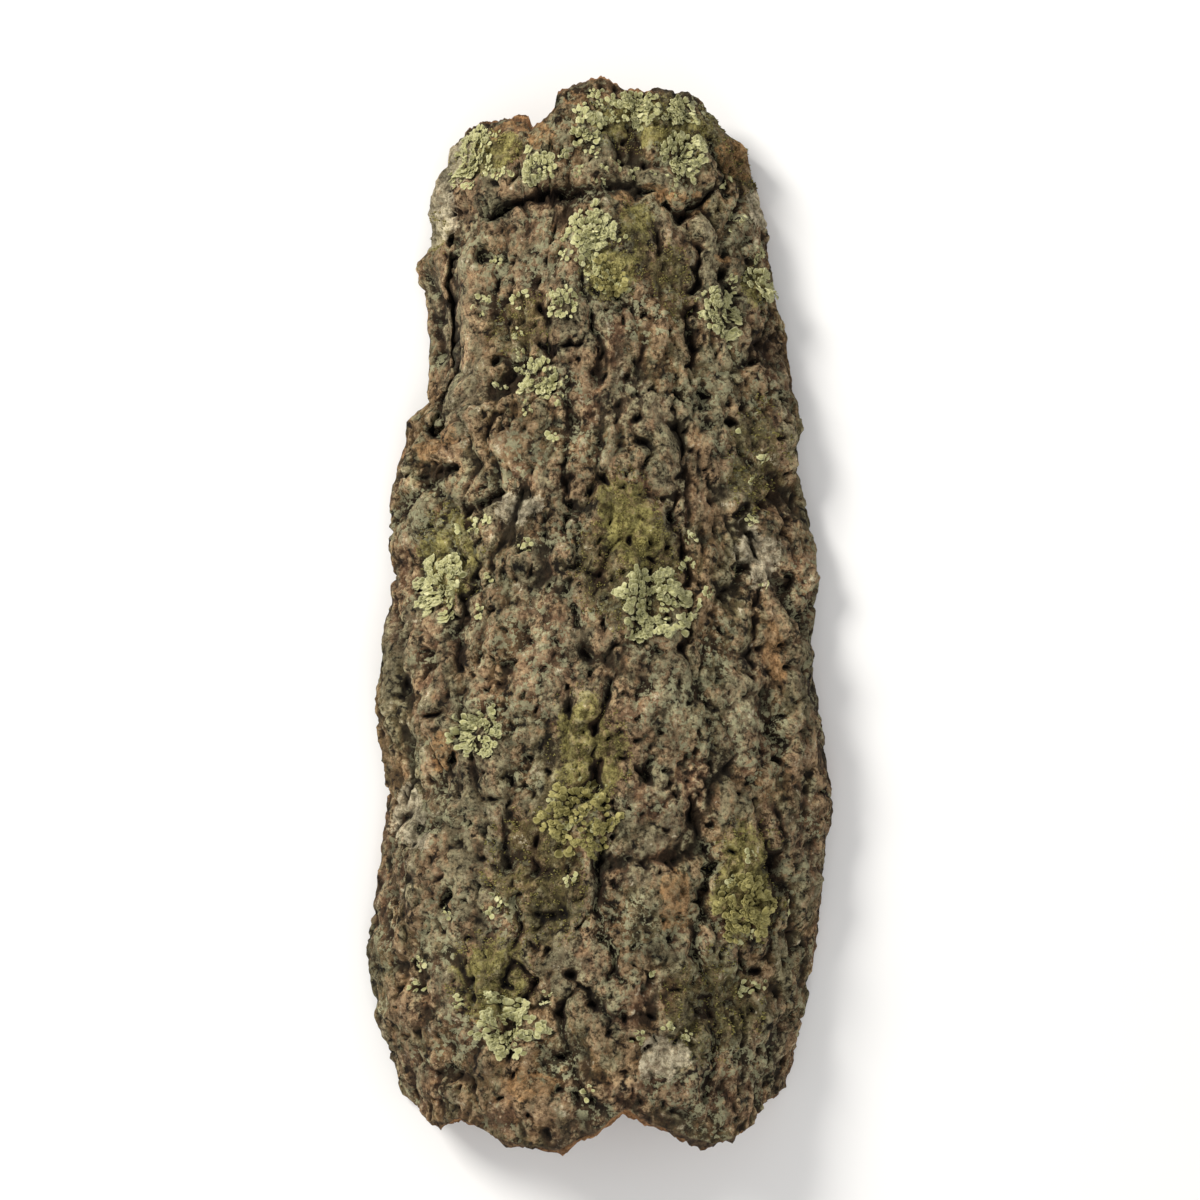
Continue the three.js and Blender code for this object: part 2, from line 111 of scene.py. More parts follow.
# The broken ends, as (share of the width, y) from left to right.
UPPER_END = [
    (0, 195), (0.043, 198), (0.097, 201), (0.181, 200), (0.278, 198), (0.291, 193), (0.327, 196),
    (0.369, 202), (0.374, 208), (0.423, 211), (0.513, 215), (0.591, 210), (0.664, 210), (0.82, 211),
    (0.876, 206), (0.94, 202), (1, 200),
]
LOWER_END = [
    (0, -198), (0.08, -207), (0.2, -204), (0.3, -212), (0.42, -215), (0.5, -208), (0.56, -199),
    (0.63, -206), (0.75, -214), (0.86, -208), (0.94, -200), (1, -195),
]

# Broad swellings of the back: (x, y, half width, half length, height).
SWELLINGS = [
    (12, 190, 46, 20, 6), (4, 138, 26, 26, 5), (-52, 118, 8, 30, 3), (58, 190, 12, 12, 3),
    (-40, 66, 26, 16, 4), (58, 118, 20, 34, 3), (20, 62, 30, 30, 4), (-20, -30, 34, 44, 6),
    (52, -60, 26, 50, 5), (-60, -120, 24, 46, 4), (10, -160, 36, 34, 5), (-72, 120, 9, 40, -5),
]

# Places where the bark is smoother than elsewhere: (x, y, half width, half length).
CALM_PLACES = [(-54, 116, 9, 40), (12, 148, 15, 22), (-66, 118, 7, 38), (30, 130, 9, 18)]

# Cracks, as a depth, a half width and a line. A negative depth is a raised rib.
CRACKS = [
    (12, 3.2, [(-57, 152), (-59, 134), (-59, 112), (-60, 95), (-64, 85), (-67, 74)]),
    (8, 2.4, [(-42, 158), (-30, 163), (-16, 166)]),
    (5, 3, [(-16, 166), (4, 168), (18, 168)]),
    (9, 2.6, [(22, 167), (29, 163), (35, 158), (41, 164), (47, 172)]),
    (8, 2.4, [(40, 144), (40, 130), (37, 118), (39, 104)]),
    (5, 2, [(46, 192), (49, 182), (55, 172)]),
    (6, 1.8, [(-22, 103), (-14, 101), (-4, 104)]),
    (6, 2, [(-77, 55), (-66, 55), (-57, 57)]),
    (6, 2, [(-70, 49), (-62, 51), (-55, 56)]),
    (5, 1.8, [(-76, 128), (-70, 120), (-70, 104)]),
    (-4, 4, [(-51, 140), (-51, 118), (-51, 96)]),
    (-4, 3.4, [(-80, 74), (-66, 82), (-50, 90), (-34, 101)]),
    (-4.5, 4, [(-68, 60), (-54, 73), (-38, 80)]),
    (-4, 4, [(-34, 169), (-14, 174), (6, 176), (24, 173), (32, 167)]),
    (5, 2.2, [(-14, 88), (-8, 70), (-12, 48), (-4, 26), (-10, 2), (-2, -22)]),
    (6, 2.4, [(30, 84), (36, 60), (30, 34), (38, 8), (34, -20), (42, -48)]),
    (5, 2.2, [(-52, 40), (-46, 14), (-54, -14), (-48, -42), (-56, -70)]),
    (6, 2.4, [(6, -34), (-2, -62), (6, -92), (0, -122), (10, -150)]),
    (5, 2.2, [(62, 40), (66, 10), (60, -22), (68, -52)]),
    (5, 2.2, [(-30, -70), (-36, -100), (-28, -130), (-36, -160), (-30, -186)]),
    (6, 2.4, [(36, -74), (44, -104), (38, -136), (46, -168), (42, -196)]),
    (4.5, 2, [(70, -84), (74, -112), (68, -142)]),
    (4.5, 2, [(-70, -90), (-74, -118), (-68, -150)]),
]

# Open pits where the cork has rotted or been bored: (x, y, long radius, short radius, turn, depth).
PITS = [
    (-44, 143, 3.6, 2.8, 1.4, 8), (-36, 162, 4.6, 2.6, 0.4, 8), (-40, 98, 3.6, 2.4, 0.9, 8),
    (-64, 73, 5, 2.6, 0.6, 8), (50, 136, 3.4, 2.8, 0.3, 8), (34, 157, 4, 3, 0.8, 8),
    (-40, 130, 2.8, 2, 1.1, 6), (-22, 117, 3.2, 2.2, 1.9, 6), (-35, 114, 2.8, 2, 0.2, 5),
    (-57, 173, 2.6, 2.2, 0, 5), (62, 152, 2.6, 2, 1.2, 5), (64, 100, 3.2, 2.4, 0.5, 6),
]
STREWN_PITS = 46
STREWN_SEED = 5

# The lichens that have a node of their own: a colour, the middle as (x, y) and a radius.
LICHENS = [
    ("pale", (-50, 188), 12), ("pale", (17, 204), 11), ("pale", (36, 203), 7),
    ("pale", (-22, 176), 8), ("pale", (-2, 192), 8), ("pale", (35, 183), 10),
    ("pale", (-1, 149), 9.5), ("pale", (-12, 118), 6), ("pale", (50, 118), 10),
    ("pale", (-22, 89), 8), ("pale", (67, 134), 8), ("pale", (-62, 8), 13),
    ("pale", (24, -2), 16), ("pale", (-44, -54), 11), ("pale", (-34, -168), 12),
    ("yellow", (6, 130), 8), ("yellow", (-6, -88), 14), ("yellow", (58, -122), 12),
]
LICHEN_LOBES = 6
LOBES_PER_AREA = 2.3
LICHEN_WAVER = 0.25
LICHEN_NOTCH = 0.14

# The fine grid, as numbers of cells. The belly's is coarser by a step.
COLUMNS = 186
ROWS = 402
INNER_STEP = 3
INNER_COLUMNS = COLUMNS // INNER_STEP
INNER_ROWS = ROWS // INNER_STEP
RIM_LAYERS = 8

# How many cells around a place count when its hollows are judged, and how deep a hollow can be.
HOLLOW_SPREAD = 5
WIDE_HOLLOW_SPREAD = 11
WIDE_HOLLOW_SHARE = 0.6
HOLLOW_SCALE = 12.0
POCKET_SPREAD = 1.6
POCKET_SCALE = 4.0


# Noise

HASH_MASK = 0xFFFFFFFF
HASH_ACROSS = 374761393
HASH_ALONG = 668265263
HASH_SEED = 974634777
HASH_STIR = 1274126177


def chance(i, j, seed):
    """A number from 0 to 1 for a point of a lattice, the same on every run."""
    i = np.asarray(i, np.int64)
    j = np.asarray(j, np.int64)
    mixed = (i * HASH_ACROSS + j * HASH_ALONG + seed * HASH_SEED) & HASH_MASK
    mixed = ((mixed ^ (mixed >> 13)) * HASH_STIR) & HASH_MASK
    return (mixed ^ (mixed >> 16)) / (HASH_MASK + 1)


def waves(x, y, seed):
    """Smooth waves from about -1 to 1, one lattice unit long."""
    i = np.floor(x).astype(np.int64)
    j = np.floor(y).astype(np.int64)
    fx = x - i
    fy = y - j

    def corner(di, dj):
        turn = 2 * math.pi * chance(i + di, j + dj, seed)
        return np.cos(turn) * (fx - di) + np.sin(turn) * (fy - dj)

    across = fx**3 * (fx * (fx * 6 - 15) + 10)
    along = fy**3 * (fy * (fy * 6 - 15) + 10)
    low = mix(corner(0, 0), corner(1, 0), across)
    high = mix(corner(0, 1), corner(1, 1), across)
    return 1.5 * mix(low, high, along)


def cells(x, y, seed):
    """Irregular cells, one lattice unit across: how far the middle of the nearest one is, and a
    number from 0 to 1 that belongs to it."""
    i = np.floor(x).astype(np.int64)
    j = np.floor(y).astype(np.int64)
    near = np.full(np.shape(x), np.inf)
    own = np.zeros(np.shape(x))
    for dj in (-1, 0, 1):
        for di in (-1, 0, 1):
            cx = i + di + chance(i + di, j + dj, seed)
            cy = j + dj + chance(i + di, j + dj, seed + 1)
            away = np.hypot(x - cx, y - cy)
            closer = away < near
            own = np.where(closer, chance(i + di, j + dj, seed + 2), own)
            near = np.where(closer, away, near)
    return near, own


def mix(a, b, share):
    """The value that lies that share of the way from a to b."""
    return a + (b - a) * share


def smoothstep(value, low, high):
    """From 0 at `low` to 1 at `high`, level at both."""
    share = np.clip((value - low) / (high - low), 0, 1)
    return share * share * (3 - 2 * share)


def turned(dx, dy, turn):
    """The same offset, in axes that are turned by that angle."""
    return dx * math.cos(turn) + dy * math.sin(turn), dy * math.cos(turn) - dx * math.sin(turn)


# The shape of the slab, as in the solid

def line_value(line, at):
    """The value at `at` of a line of (position, value) pairs."""
    positions, values = np.array(sorted(line), float).T
    return np.interp(at, positions, values)


LEFT_BY_Y = [(y, x) for x, y in LEFT_EDGE]
RIGHT_BY_Y = [(y, x) for x, y in RIGHT_EDGE]


def arch_point(angle, y):
    """The smooth arch under the bark's relief."""
    half = HALF_WIDTH - FLARE * y
    radius = half / math.sin(ARCH_ANGLE)
    left = line_value(LEFT_BY_Y, y) - (ARCH_CENTRE - half)
    right = line_value(RIGHT_BY_Y, y) - (ARCH_CENTRE + half)
    reach = smoothstep(np.abs(angle) / ARCH_ANGLE, 0.45, 1)
    x = ARCH_CENTRE + radius * np.sin(angle) + np.where(angle < 0, left, right) * reach
    z = radius * (np.cos(angle) - math.cos(ARCH_ANGLE)) + BOW * (1 - (y / HALF_LENGTH) ** 2)
    return np.stack([x, y, z], -1)


def outward(angle):
    """The way straight out from the middle of the trunk."""
    return np.stack([np.sin(angle), np.zeros_like(angle), np.cos(angle)], -1)


def width_share(angle):
    """How far across the slab a place is, from 0 at the left edge to 1 at the right one."""
    return (1 + np.sin(angle) / math.sin(ARCH_ANGLE)) / 2


def row_at(angle, run):
    """The y of a place, by its angle and its share of the length."""
    share = width_share(angle)
    return mix(line_value(LOWER_END, share), line_value(UPPER_END, share), run)


def run_at(angle, y):
    """A place's share of the length, by its angle and its y."""
    share = width_share(angle)
    low = line_value(LOWER_END, share)
    return (y - low) / (line_value(UPPER_END, share) - low)


def inward(angle, y):
    """How far a place is from the rim, from 0 at it to 1 some way in."""
    side = (ARCH_ANGLE - np.abs(angle)) * ARC_RADIUS
    run = run_at(angle, y)
    end = np.minimum(run, 1 - run) * 2 * HALF_LENGTH
    return smoothstep(np.minimum(side, end), 0, RIM_SETBACK)


def distance_to(line, x, y):
    """The shortest way from each point to a line of points."""
    least = np.full(np.shape(x), np.inf)
    for (ax, ay), (bx, by) in zip(line, line[1:]):
        share = ((x - ax) * (bx - ax) + (y - ay) * (by - ay)) / ((bx - ax) ** 2 + (by - ay) ** 2)
        held = np.clip(share, 0, 1)
        least = np.minimum(least, np.hypot(x - mix(ax, bx, held), y - mix(ay, by, held)))
    return least


def all_pits():
    """The pits of the list and those strewn by chance."""
    pits = list(PITS)
    for k in range(STREWN_PITS):
        pick = [float(chance(k, which, STREWN_SEED)) for which in range(6)]
        pits.append((
            mix(-78, 82, pick[0]), mix(-200, 84, pick[1]), mix(2.4, 4.6, pick[2]),
            mix(1.8, 3, pick[3]), math.pi * pick[4], mix(4, 8, pick[5]),
        ))
    return pits


def swelling_at(x, y):
    """How far the placed swellings raise the back, seen from above at x, y."""
    height = np.zeros(np.shape(x))
    for sx, sy, across, up, rise in SWELLINGS:
        height += rise * np.exp(-(((x - sx) / across) ** 2) - ((y - sy) / up) ** 2)
    return height


def cut_depth(x, y):
    """How deep the cracks and the pits are cut, straight down, seen from above at x, y. Debris
    bridges some of the cracks."""
    cut = np.zeros(np.shape(x))
    wx = x + STRAY * waves(x / 9, y / 9, 61)
    wy = y + STRAY * waves(x / 9, y / 9, 62)
    ragged = 1 + 0.35 * waves(x / 4, y / 5, 63)
    for depth, width, line in CRACKS:
        reach = width * CRACK_SPREAD * ragged
        cut += depth * np.exp(-((distance_to(line, wx, wy) / reach) ** 2))
    cut *= 1 - BRIDGED_SHARE * smoothstep(waves(x / 6, y / 6, 64), 0.0, 0.35)
    for px, py, long, short, turn, depth in all_pits():
        u, v = turned(wx - px, wy - py, turn)
        cut += depth * np.exp(-(((u / long) ** 2 + (v / short) ** 2) ** 1.5))
    return cut


def calmness(x, y):
    """How much smoother than elsewhere the bark is, from 0 to 1."""
    calm = np.zeros(np.shape(x))
    for px, py, across, up in CALM_PLACES:
        calm = np.maximum(calm, np.exp(-(((x - px) / across) ** 4) - ((y - py) / up) ** 4))
    return calm


def cork_relief(arc, y, calm):
    """How high the cork stands off the arch: broad waves, long ridges that part and join again with
    fissures between them, plates with stepped edges, and lumps. Each comes and goes over the slab."""
    wa = arc + 7 * waves(arc / 27, y / 36, 11) + 2.6 * waves(arc / 10, y / 13, 12)
    wy = y + 9 * waves(arc / 30, y / 34, 13) + 3 * waves(arc / 11, y / 14, 14)
    fissured = smoothstep(waves(arc / 34, y / 50, 15), -0.45, 0.35)
    lumpy = smoothstep(waves(arc / 26, y / 32, 16), -0.4, 0.4)
    swell = SWELL_HEIGHT * waves(arc / 60, y / 70, 1) + ROLL_HEIGHT * waves(wa / 21, wy / 30, 17)
    ridges = smoothstep(np.abs(waves(wa / 23, wy / 52, 21)), 0, 0.24) - 0.9
    cracked = FISSURE_DEPTH * mix(0.1, 1, fissured) * ridges
    plates = PLATE_HEIGHT * (smoothstep(waves(wa / 15, wy / 22, 31), -0.3, 0.3) - 0.5)
    knobs = KNOB_HEIGHT * mix(0.3, 1, lumpy) * waves(wa / 9, wy / 11, 32)
    return swell + (cracked + plates + knobs) * mix(1, CALM_SHARE, calm)


def crumb_relief(arc, y, calm):
    """The smallest forms: flakes with ragged steps, crumbs, and open pores."""
    wa = arc + 2 * waves(arc / 5, y / 7, 91) + 0.9 * waves(arc / 2.3, y / 2.9, 92)
    wy = y + 2.4 * waves(arc / 5, y / 8, 93) + 1 * waves(arc / 2.4, y / 3.1, 94)
    patch = smoothstep(waves(arc / 14, y / 19, 95), -0.5, 0.4)
    flakes = FLAKE_HEIGHT * (smoothstep(waves(wa / 7, wy / 10, 97), -0.1, 0.12) - 0.5)
    flakes += SMALL_FLAKE_HEIGHT * (smoothstep(waves(wa / 3.9, wy / 5.2, 98), -0.1, 0.14) - 0.5)
    crumbs = CRUMB_HEIGHT * waves(wa / 2.6, wy / 3.3, 102) + GRIT_HEIGHT * waves(arc / 1.7, y / 2, 103)
    streaks = STREAK_HEIGHT * waves(wa / 2.3, wy / 10, 96)
    pore_near, pore_own = cells(wa / 6, wy / 7, 111)
    width = mix(0.12, 0.3, pore_own)
    pores = PORE_DEPTH * smoothstep(pore_own, 0.4, 0.7) * np.exp(-((pore_near / width) ** 2))
    return mix(1, CALM_CRUMBS, calm) * (mix(0.4, 1, patch) * (flakes + crumbs) - pores) + streaks


def held_in(angle, y):
    """The same places, moved onto the slab where they are off it."""
    angle = np.clip(angle, -ARCH_ANGLE, ARCH_ANGLE)
    return angle, np.clip(y, row_at(angle, 0.0), row_at(angle, 1.0))


def back_height(angle, y, crumbs=True):
    """How far the back stands out from the arch, and how deep it is cut straight down."""
    foot_x = arch_point(angle, y)[..., 0]
    arc = angle * ARC_RADIUS
    held = inward(angle, y)
    calm = calmness(foot_x, y)
    relief_share = mix(RIM_RELIEF, 1, held)
    relief = cork_relief(arc, y, calm) + swelling_at(foot_x, y)
    height = relief * relief_share - RIM_DROP * (1 - held)
    if crumbs:
        height = height + crumb_relief(arc, y, calm) * mix(RIM_CRUMBS, 1, held)
    return height, cut_depth(foot_x, y) * relief_share


def raised(angle, y, height, cut):
    """The places of the back, from how far they stand out and how deep they are cut."""
    points = arch_point(angle, y) + outward(angle) * height[..., None]
    points[..., 2] -= cut
    return points


def back_point(angle, y, lift=0.0, crumbs=True):
    """The places of the back at these angles and ys, lifted off it by so much."""
    height, cut = back_height(angle, y, crumbs)
    return raised(angle, y, height + lift, cut)


def belly_point(angle, y):
    """The places of the belly, with its low waves and its fine lengthwise grain."""
    arc = angle * ARC_RADIUS
    held = inward(angle, y)
    thickness = mix(EDGE_THICKNESS, THICKNESS, held) + INNER_SWELL * waves(arc / 40, y / 60, 41)
    grain = INNER_GRAIN * waves(arc / 9, y / 50, 42) + INNER_ROLL * waves(arc / 28, y / 45, 43)
    fine = BELLY_STREAK * waves(arc / 2.4, y / 16, 44) + BELLY_GRAIN * waves(arc / 1.1, y / 7, 45)
    return arch_point(angle, y) - outward(angle) * (thickness + grain * held + fine)[..., None]


def in_row_frame(points):
    """Points of the arch moved to where the solid lies, flattened at the table, in metres."""
    moved = points - np.array([BOX_CENTRE_X, 0, FLOOR_LEVEL])
    moved[..., 2] = np.maximum(moved[..., 2], 0)
    return moved * MM


# Meshes

def grid_faces(rows, columns):
    """The corners of the quads of a grid of points, as index quadruples."""
    r, c = np.mgrid[0:rows, 0:columns]
    first = (r * (columns + 1) + c).ravel()
    return np.stack([first, first + 1, first + columns + 2, first + columns + 1], -1)


def blurred(values, spread):
    """The grid's values, spread by a bell curve of that many cells each way."""
    reach = int(3 * spread) + 1
    bell = np.exp(-0.5 * (np.arange(-reach, reach + 1) / spread) ** 2)
    bell /= bell.sum()
    for axis in (0, 1):
        ends = [(reach, reach) if a == axis else (0, 0) for a in (0, 1)]
        padded = np.pad(values, ends, mode="edge")
        values = sum(
            weight * np.take(padded, range(k, k + values.shape[axis]), axis)
            for k, weight in enumerate(bell)
        )
    return values


def make_piece(name, points, faces, material, attributes=()):
    """A mesh object from points in metres and faces of three or four corners."""
    mesh = bpy.data.meshes.new(name)
    mesh.from_pydata(points.tolist(), [], faces)
    for key, values in dict(attributes).items():
        layer = mesh.attributes.new(key, "FLOAT", "POINT")
        layer.data.foreach_set("value", np.asarray(values, np.float32).ravel())
    mesh.polygons.foreach_set("use_smooth", np.ones(len(mesh.polygons), bool))
    mesh.materials.append(material)
    mesh.update()
    piece = bpy.data.objects.new(name, mesh)
    bpy.context.scene.collection.objects.link(piece)
    return piece


def leaning(back, height, angle, y):
    """The places of the back, with its lumps leaning out over the cracks beside them."""
    step_y = 2 * HALF_LENGTH / ROWS
    step_arc = 2 * ARCH_ANGLE * ARC_RADIUS / COLUMNS
    slope_y, slope_arc = np.gradient(blurred(height, 1.0), step_y, step_arc)
    lean = LUMP_LEAN * inward(angle, y)
    sideways = np.stack([np.cos(angle), np.zeros_like(angle), -np.sin(angle)], -1)
    back = back - sideways * (lean * np.clip(slope_arc, -STEEPEST, STEEPEST))[..., None]
    back[..., 1] -= lean * np.clip(slope_y, -STEEPEST, STEEPEST)
    return back


def bark_piece(material):
    """The whole bark: its back, its broken rim and its belly."""
    across = np.linspace(-1, 1, COLUMNS + 1)
    angle, run = np.meshgrid(across * ARCH_ANGLE, np.linspace(0, 1, ROWS + 1))
    y = row_at(angle, run)
    height, cut = back_height(angle, y)
    back = raised(angle, y, height, cut)
    height = height - cut
    back = leaning(back, height, angle, y)

    inner_angle, inner_run = angle[::INNER_STEP, ::INNER_STEP], run[::INNER_STEP, ::INNER_STEP]
    belly = belly_point(inner_angle, row_at(inner_angle, inner_run))
    inner_start = height.size
    rim_start = inner_start + inner_angle.size
    rim, rim_faces, depths = rim_band(angle, run, back, inner_start, rim_start)

    points = np.concatenate([back.reshape(-1, 3), belly.reshape(-1, 3), rim])
    belly_faces = grid_faces(INNER_ROWS, INNER_COLUMNS)[:, ::-1] + inner_start
    faces = grid_faces(ROWS, COLUMNS).tolist() + belly_faces.tolist() + rim_faces

    # How far each place lies below the bark around it: the material paints shade into the hollows and
    # pockets, and highlights onto the crests and raised crumbs.
    near, wide = blurred(height, HOLLOW_SPREAD), blurred(height, WIDE_HOLLOW_SPREAD)
    hollow = 0.5 + (mix(near, wide, WIDE_HOLLOW_SHARE) - height) / HOLLOW_SCALE
    pocket = 0.5 + (blurred(height, POCKET_SPREAD) - height) / POCKET_SCALE
    sizes = [height.size, inner_angle.size, len(rim)]
    level = np.full(sizes[1] + sizes[2], 0.5)
    masks = {
        "hollow": np.concatenate([hollow.ravel(), level]),
        "pocket": np.concatenate([pocket.ravel(), level]),
        "rim": np.repeat([0.0, 0.0, 1.0], sizes),
        "belly": np.repeat([0.0, 1.0, 0.0], sizes),
        "layer": np.concatenate([np.zeros(sizes[0]), np.ones(sizes[1]), depths]),
    }
    masks.update(film_masks(points, masks))
    return make_piece("cork_bark", in_row_frame(points), faces, material, masks)


def rim_places():
    """The places round the grid's edge: row, column, and which way is out, by side and by end."""
    places = [(0, c, 0, -1) for c in range(COLUMNS)]
    places += [(r, COLUMNS, 1, 0) for r in range(ROWS)]
    places += [(ROWS, c, 0, 1) for c in range(COLUMNS, 0, -1)]
    places += [(r, 0, -1, 0) for r in range(ROWS, 0, -1)]
    row, column, side, end = np.array(places).T
    corner = ((row == 0) | (row == ROWS)) & ((column == 0) | (column == COLUMNS))
    side = np.where(corner, np.sign(column - COLUMNS / 2), side)
    end = np.where(corner, np.sign(row - ROWS / 2), end)
    return row, column, side, end


def rim_band(angle, run, back, inner_start, rim_start):
    """The broken rim, layer by layer from the back's edge to the belly's. Returns its points, its
    faces, and how deep in the bark each point lies, from 0 to 1."""
    row, column, side, end = rim_places()
    at = angle[row, column]
    y = row_at(at, run[row, column])
    top = back[row, column]
    bottom = belly_point(at, y)
    out = np.stack([side * np.cos(at), end.astype(float), -side * np.sin(at)], -1)
    out /= np.linalg.norm(out, axis=1)[:, None]
    way = np.cumsum(np.linalg.norm(np.roll(top, -1, 0) - top, axis=1))

    count = len(row)
    points = []
    depths = []
    faces = []
    above = row * (COLUMNS + 1) + column
    for layer in range(1, RIM_LAYERS + 1):
        depth = layer / (RIM_LAYERS + 1)
        jag = RIM_BULGE + RIM_JAG * waves(at * 9, y / 14 + 3 * depth, 51)
        torn = RIM_TEAR * waves(way / 6, np.full(count, 5 * depth), 52)
        torn += RIM_FRAY * waves(way / 2.2, np.full(count, 9 * depth), 53)
        chunk = np.floor(way / 9 + 2 * waves(way / 30, np.zeros(count), 54))
        ledge = RIM_LEDGE * (chance(chunk, layer, 55) - 0.5)
        swell = (jag + ledge) * math.sin(math.pi * min(depth, 0.8)) + torn
        points.append(mix(top, bottom, depth) + out * swell[:, None])
        depths.append(np.full(count, depth))
        below = rim_start + (layer - 1) * count + np.arange(count)
        faces += np.stack([above, below, np.roll(below, -1), np.roll(above, -1)], -1).tolist()
        above = below
    inner = inner_start + (row // INNER_STEP) * (INNER_COLUMNS + 1) + column // INNER_STEP
    for k in range(0, count, INNER_STEP):
        far = (k + INNER_STEP) % count
        fan = [int(above[(k + n) % count]) for n in range(INNER_STEP, -1, -1)]
        faces.append([*fan, int(inner[k]), int(inner[far])])
    return np.concatenate(points), faces, np.concatenate(depths)


# Thin films and tints that are only colour: (x, y, half width, half length, turn).
FILMS = {
    "grey_crust": [
        (-61, 187, 11, 14, 0.3), (-66, 166, 9, 14, 0.1), (70, 168, 7, 8, 0), (-30, 36, 10, 7, 0.5),
        (66, 20, 8, 14, 0.2), (-74, -86, 8, 13, 0), (28, -180, 12, 8, 0.4),
    ],
    "yellow_film": [
        (17, 149, 7, 16, 0.1), (22, 196, 26, 12, 0), (-44, 186, 14, 10, 0), (-2, -60, 15, 24, 0.2),
        (60, -112, 16, 24, 0), (-58, 20, 14, 20, 0), (14, 30, 14, 22, 0.4), (-40, -150, 16, 18, 0.2),
        (66, 132, 7, 9, 0), (-66, 158, 5, 10, 0.2), (6, 132, 12, 12, 0),
    ],
    "olive_film": [
        (31, 130, 8, 16, 0.1), (40, 195, 16, 12, 0), (14, 14, 22, 28, 0), (-22, -110, 20, 26, 0.3),
        (66, 60, 12, 24, 0), (46, -160, 20, 22, 0), (-36, 184, 6, 8, 0), (-30, 112, 14, 14, 0.5),
        (60, 186, 12, 12, 0),
    ],
    "warm_wear": [
        (-33, 197, 10, 5, 0.2), (-8, 206, 7, 5, 0), (20, 165, 24, 4, 0), (-22, 190, 8, 7, 0.3),
        (58, 188, 10, 12, 0), (53, 141, 6, 4, 0), (-66, 66, 13, 5, 0.3), (-60, -60, 8, 12, 0),
        (32, -120, 9, 15, 0), (72, -20, 7, 16, 0), (-24, -190, 14, 8, 0), (40, 165, 8, 6, 0),
    ],
    # Paler patches, most of them on the left half.
    "paler_patches": [
        (-52, 108, 10, 44, 0), (-20, 128, 24, 34, 0.2), (4, 172, 30, 10, 0), (-40, 170, 22, 14, 0.6),
        (-64, 118, 6, 34, 0), (10, -30, 34, 50, 0), (-50, -110, 22, 40, 0), (50, 60, 22, 30, 0.2),
    ],
    "pale_crust": [
        (-51, 145, 7, 8, 0), (-42, 124, 7, 9, 0.3), (-24, 134, 9, 7, 0), (24, 112, 12, 8, 0.2),
        (56, 152, 12, 9, 0), (-26, 156, 8, 8, 0), (-4, 134, 12, 18, 0.3), (-4, 164, 16, 6, 0),
        (-50, 92, 12, 8, 0.4), (52, 96, 10, 14, 0), (-8, 186, 24, 12, 0.1), (30, 192, 22, 14, 0),
        (-64, 36, 14, 16, 0), (30, -40, 20, 14, 0.5), (-24, -20, 12, 24, 0.2), (66, -60, 12, 22, 0),
        (-66, -130, 14, 20, 0), (14, -128, 22, 16, 0.3), (54, -176, 18, 12, 0), (-10, 60, 14, 12, 0),
    ],
}
FILM_STRAY = 4
FILM_HEART = 0.55
FILM_END = 1.25


def film_masks(points, masks):
    """How strongly each film and each place of warm wear shows, from 0 to 1."""
    x, y = points[:, 0], points[:, 1]
    on_back = 1 - np.maximum(masks["rim"], masks["belly"])
    wx = x + FILM_STRAY * waves(x / 9, y / 9, 121)
    wy = y + FILM_STRAY * waves(x / 9, y / 9, 122)
    found = {}
    for name, places in FILMS.items():
        strongest = np.zeros(len(points))
        for px, py, across, up, turn in places:
            u, v = turned(wx - px, wy - py, turn)
            away = np.hypot(u / across, v / up)
            strongest = np.maximum(strongest, 1 - smoothstep(away, FILM_HEART, FILM_END))
        found[name] = strongest if name == "warm_wear" else strongest * on_back
    return found


# Lichens

# A lobe's grid of points, as shares of its length and of its half width.
LOBE_LENGTHS = np.array([0.0, 0.34, 0.7, 1.0])
LOBE_SIDES = np.array([-1.0, -0.52, 0.0, 0.52, 1.0])
SHEET_POINTS = len(LOBE_LENGTHS) * len(LOBE_SIDES)
LOBE_THICKNESS = 0.4
LOBE_ROUNDING = 0.3
RUFFLE_HEIGHT = 0.35
CRUMB_HOLD = 0.6
RIM_MARGIN = 0.06
GOLDEN_TURN = 2.39996
ROSETTE_STRAY = 2.2
ROSETTE_PERCH = 1.2
LOOSE_PERCH = 0.4


def angle_over(x, y):
    """The angle round the trunk at which the arch is x across, at y."""
    low = np.full(np.shape(x), -ARCH_ANGLE)
    high = np.full(np.shape(x), ARCH_ANGLE)
    for _ in range(24):
        middle = (low + high) / 2
        short = arch_point(middle, y)[..., 0] < x
        low = np.where(short, middle, low)
        high = np.where(short, high, middle)
    return (low + high) / 2


def off_the_rim(parts):
    """The same lobes, without those that would hang over the slab's edge."""
    angle, y = parts[0] / ARC_RADIUS, parts[1]
    kept = (np.abs(angle) < ARCH_ANGLE) & (inward(angle, y) > RIM_MARGIN)
    return [part[kept] for part in parts]


def per_lobe(values):
    """One number a lobe, ready to spread over the lobe's grid of points."""
    return values[:, None, None]


def sheet_faces(count):
    """The faces of that many closed sheets: a top, an underside and the wall between them."""
    last = len(LOBE_SIDES) - 1
    rows = len(LOBE_LENGTHS) - 1
    quads = grid_faces(rows, last)
    ring = list(range(last))
    ring += [r * (last + 1) + last for r in range(rows)]
    ring += [rows * (last + 1) + c for c in range(last, 0, -1)]
    ring += [r * (last + 1) for r in range(rows, 0, -1)]
    ring = np.array(ring)
    after = np.roll(ring, -1)
    wall = np.stack([ring, ring + SHEET_POINTS, after + SHEET_POINTS, after], -1)
    one = np.concatenate([quads[:, ::-1], quads + SHEET_POINTS, wall[:, ::-1]])
    starts = (np.arange(count) * 2 * SHEET_POINTS)[:, None, None]
    return (one[None] + starts).reshape(-1, 4)


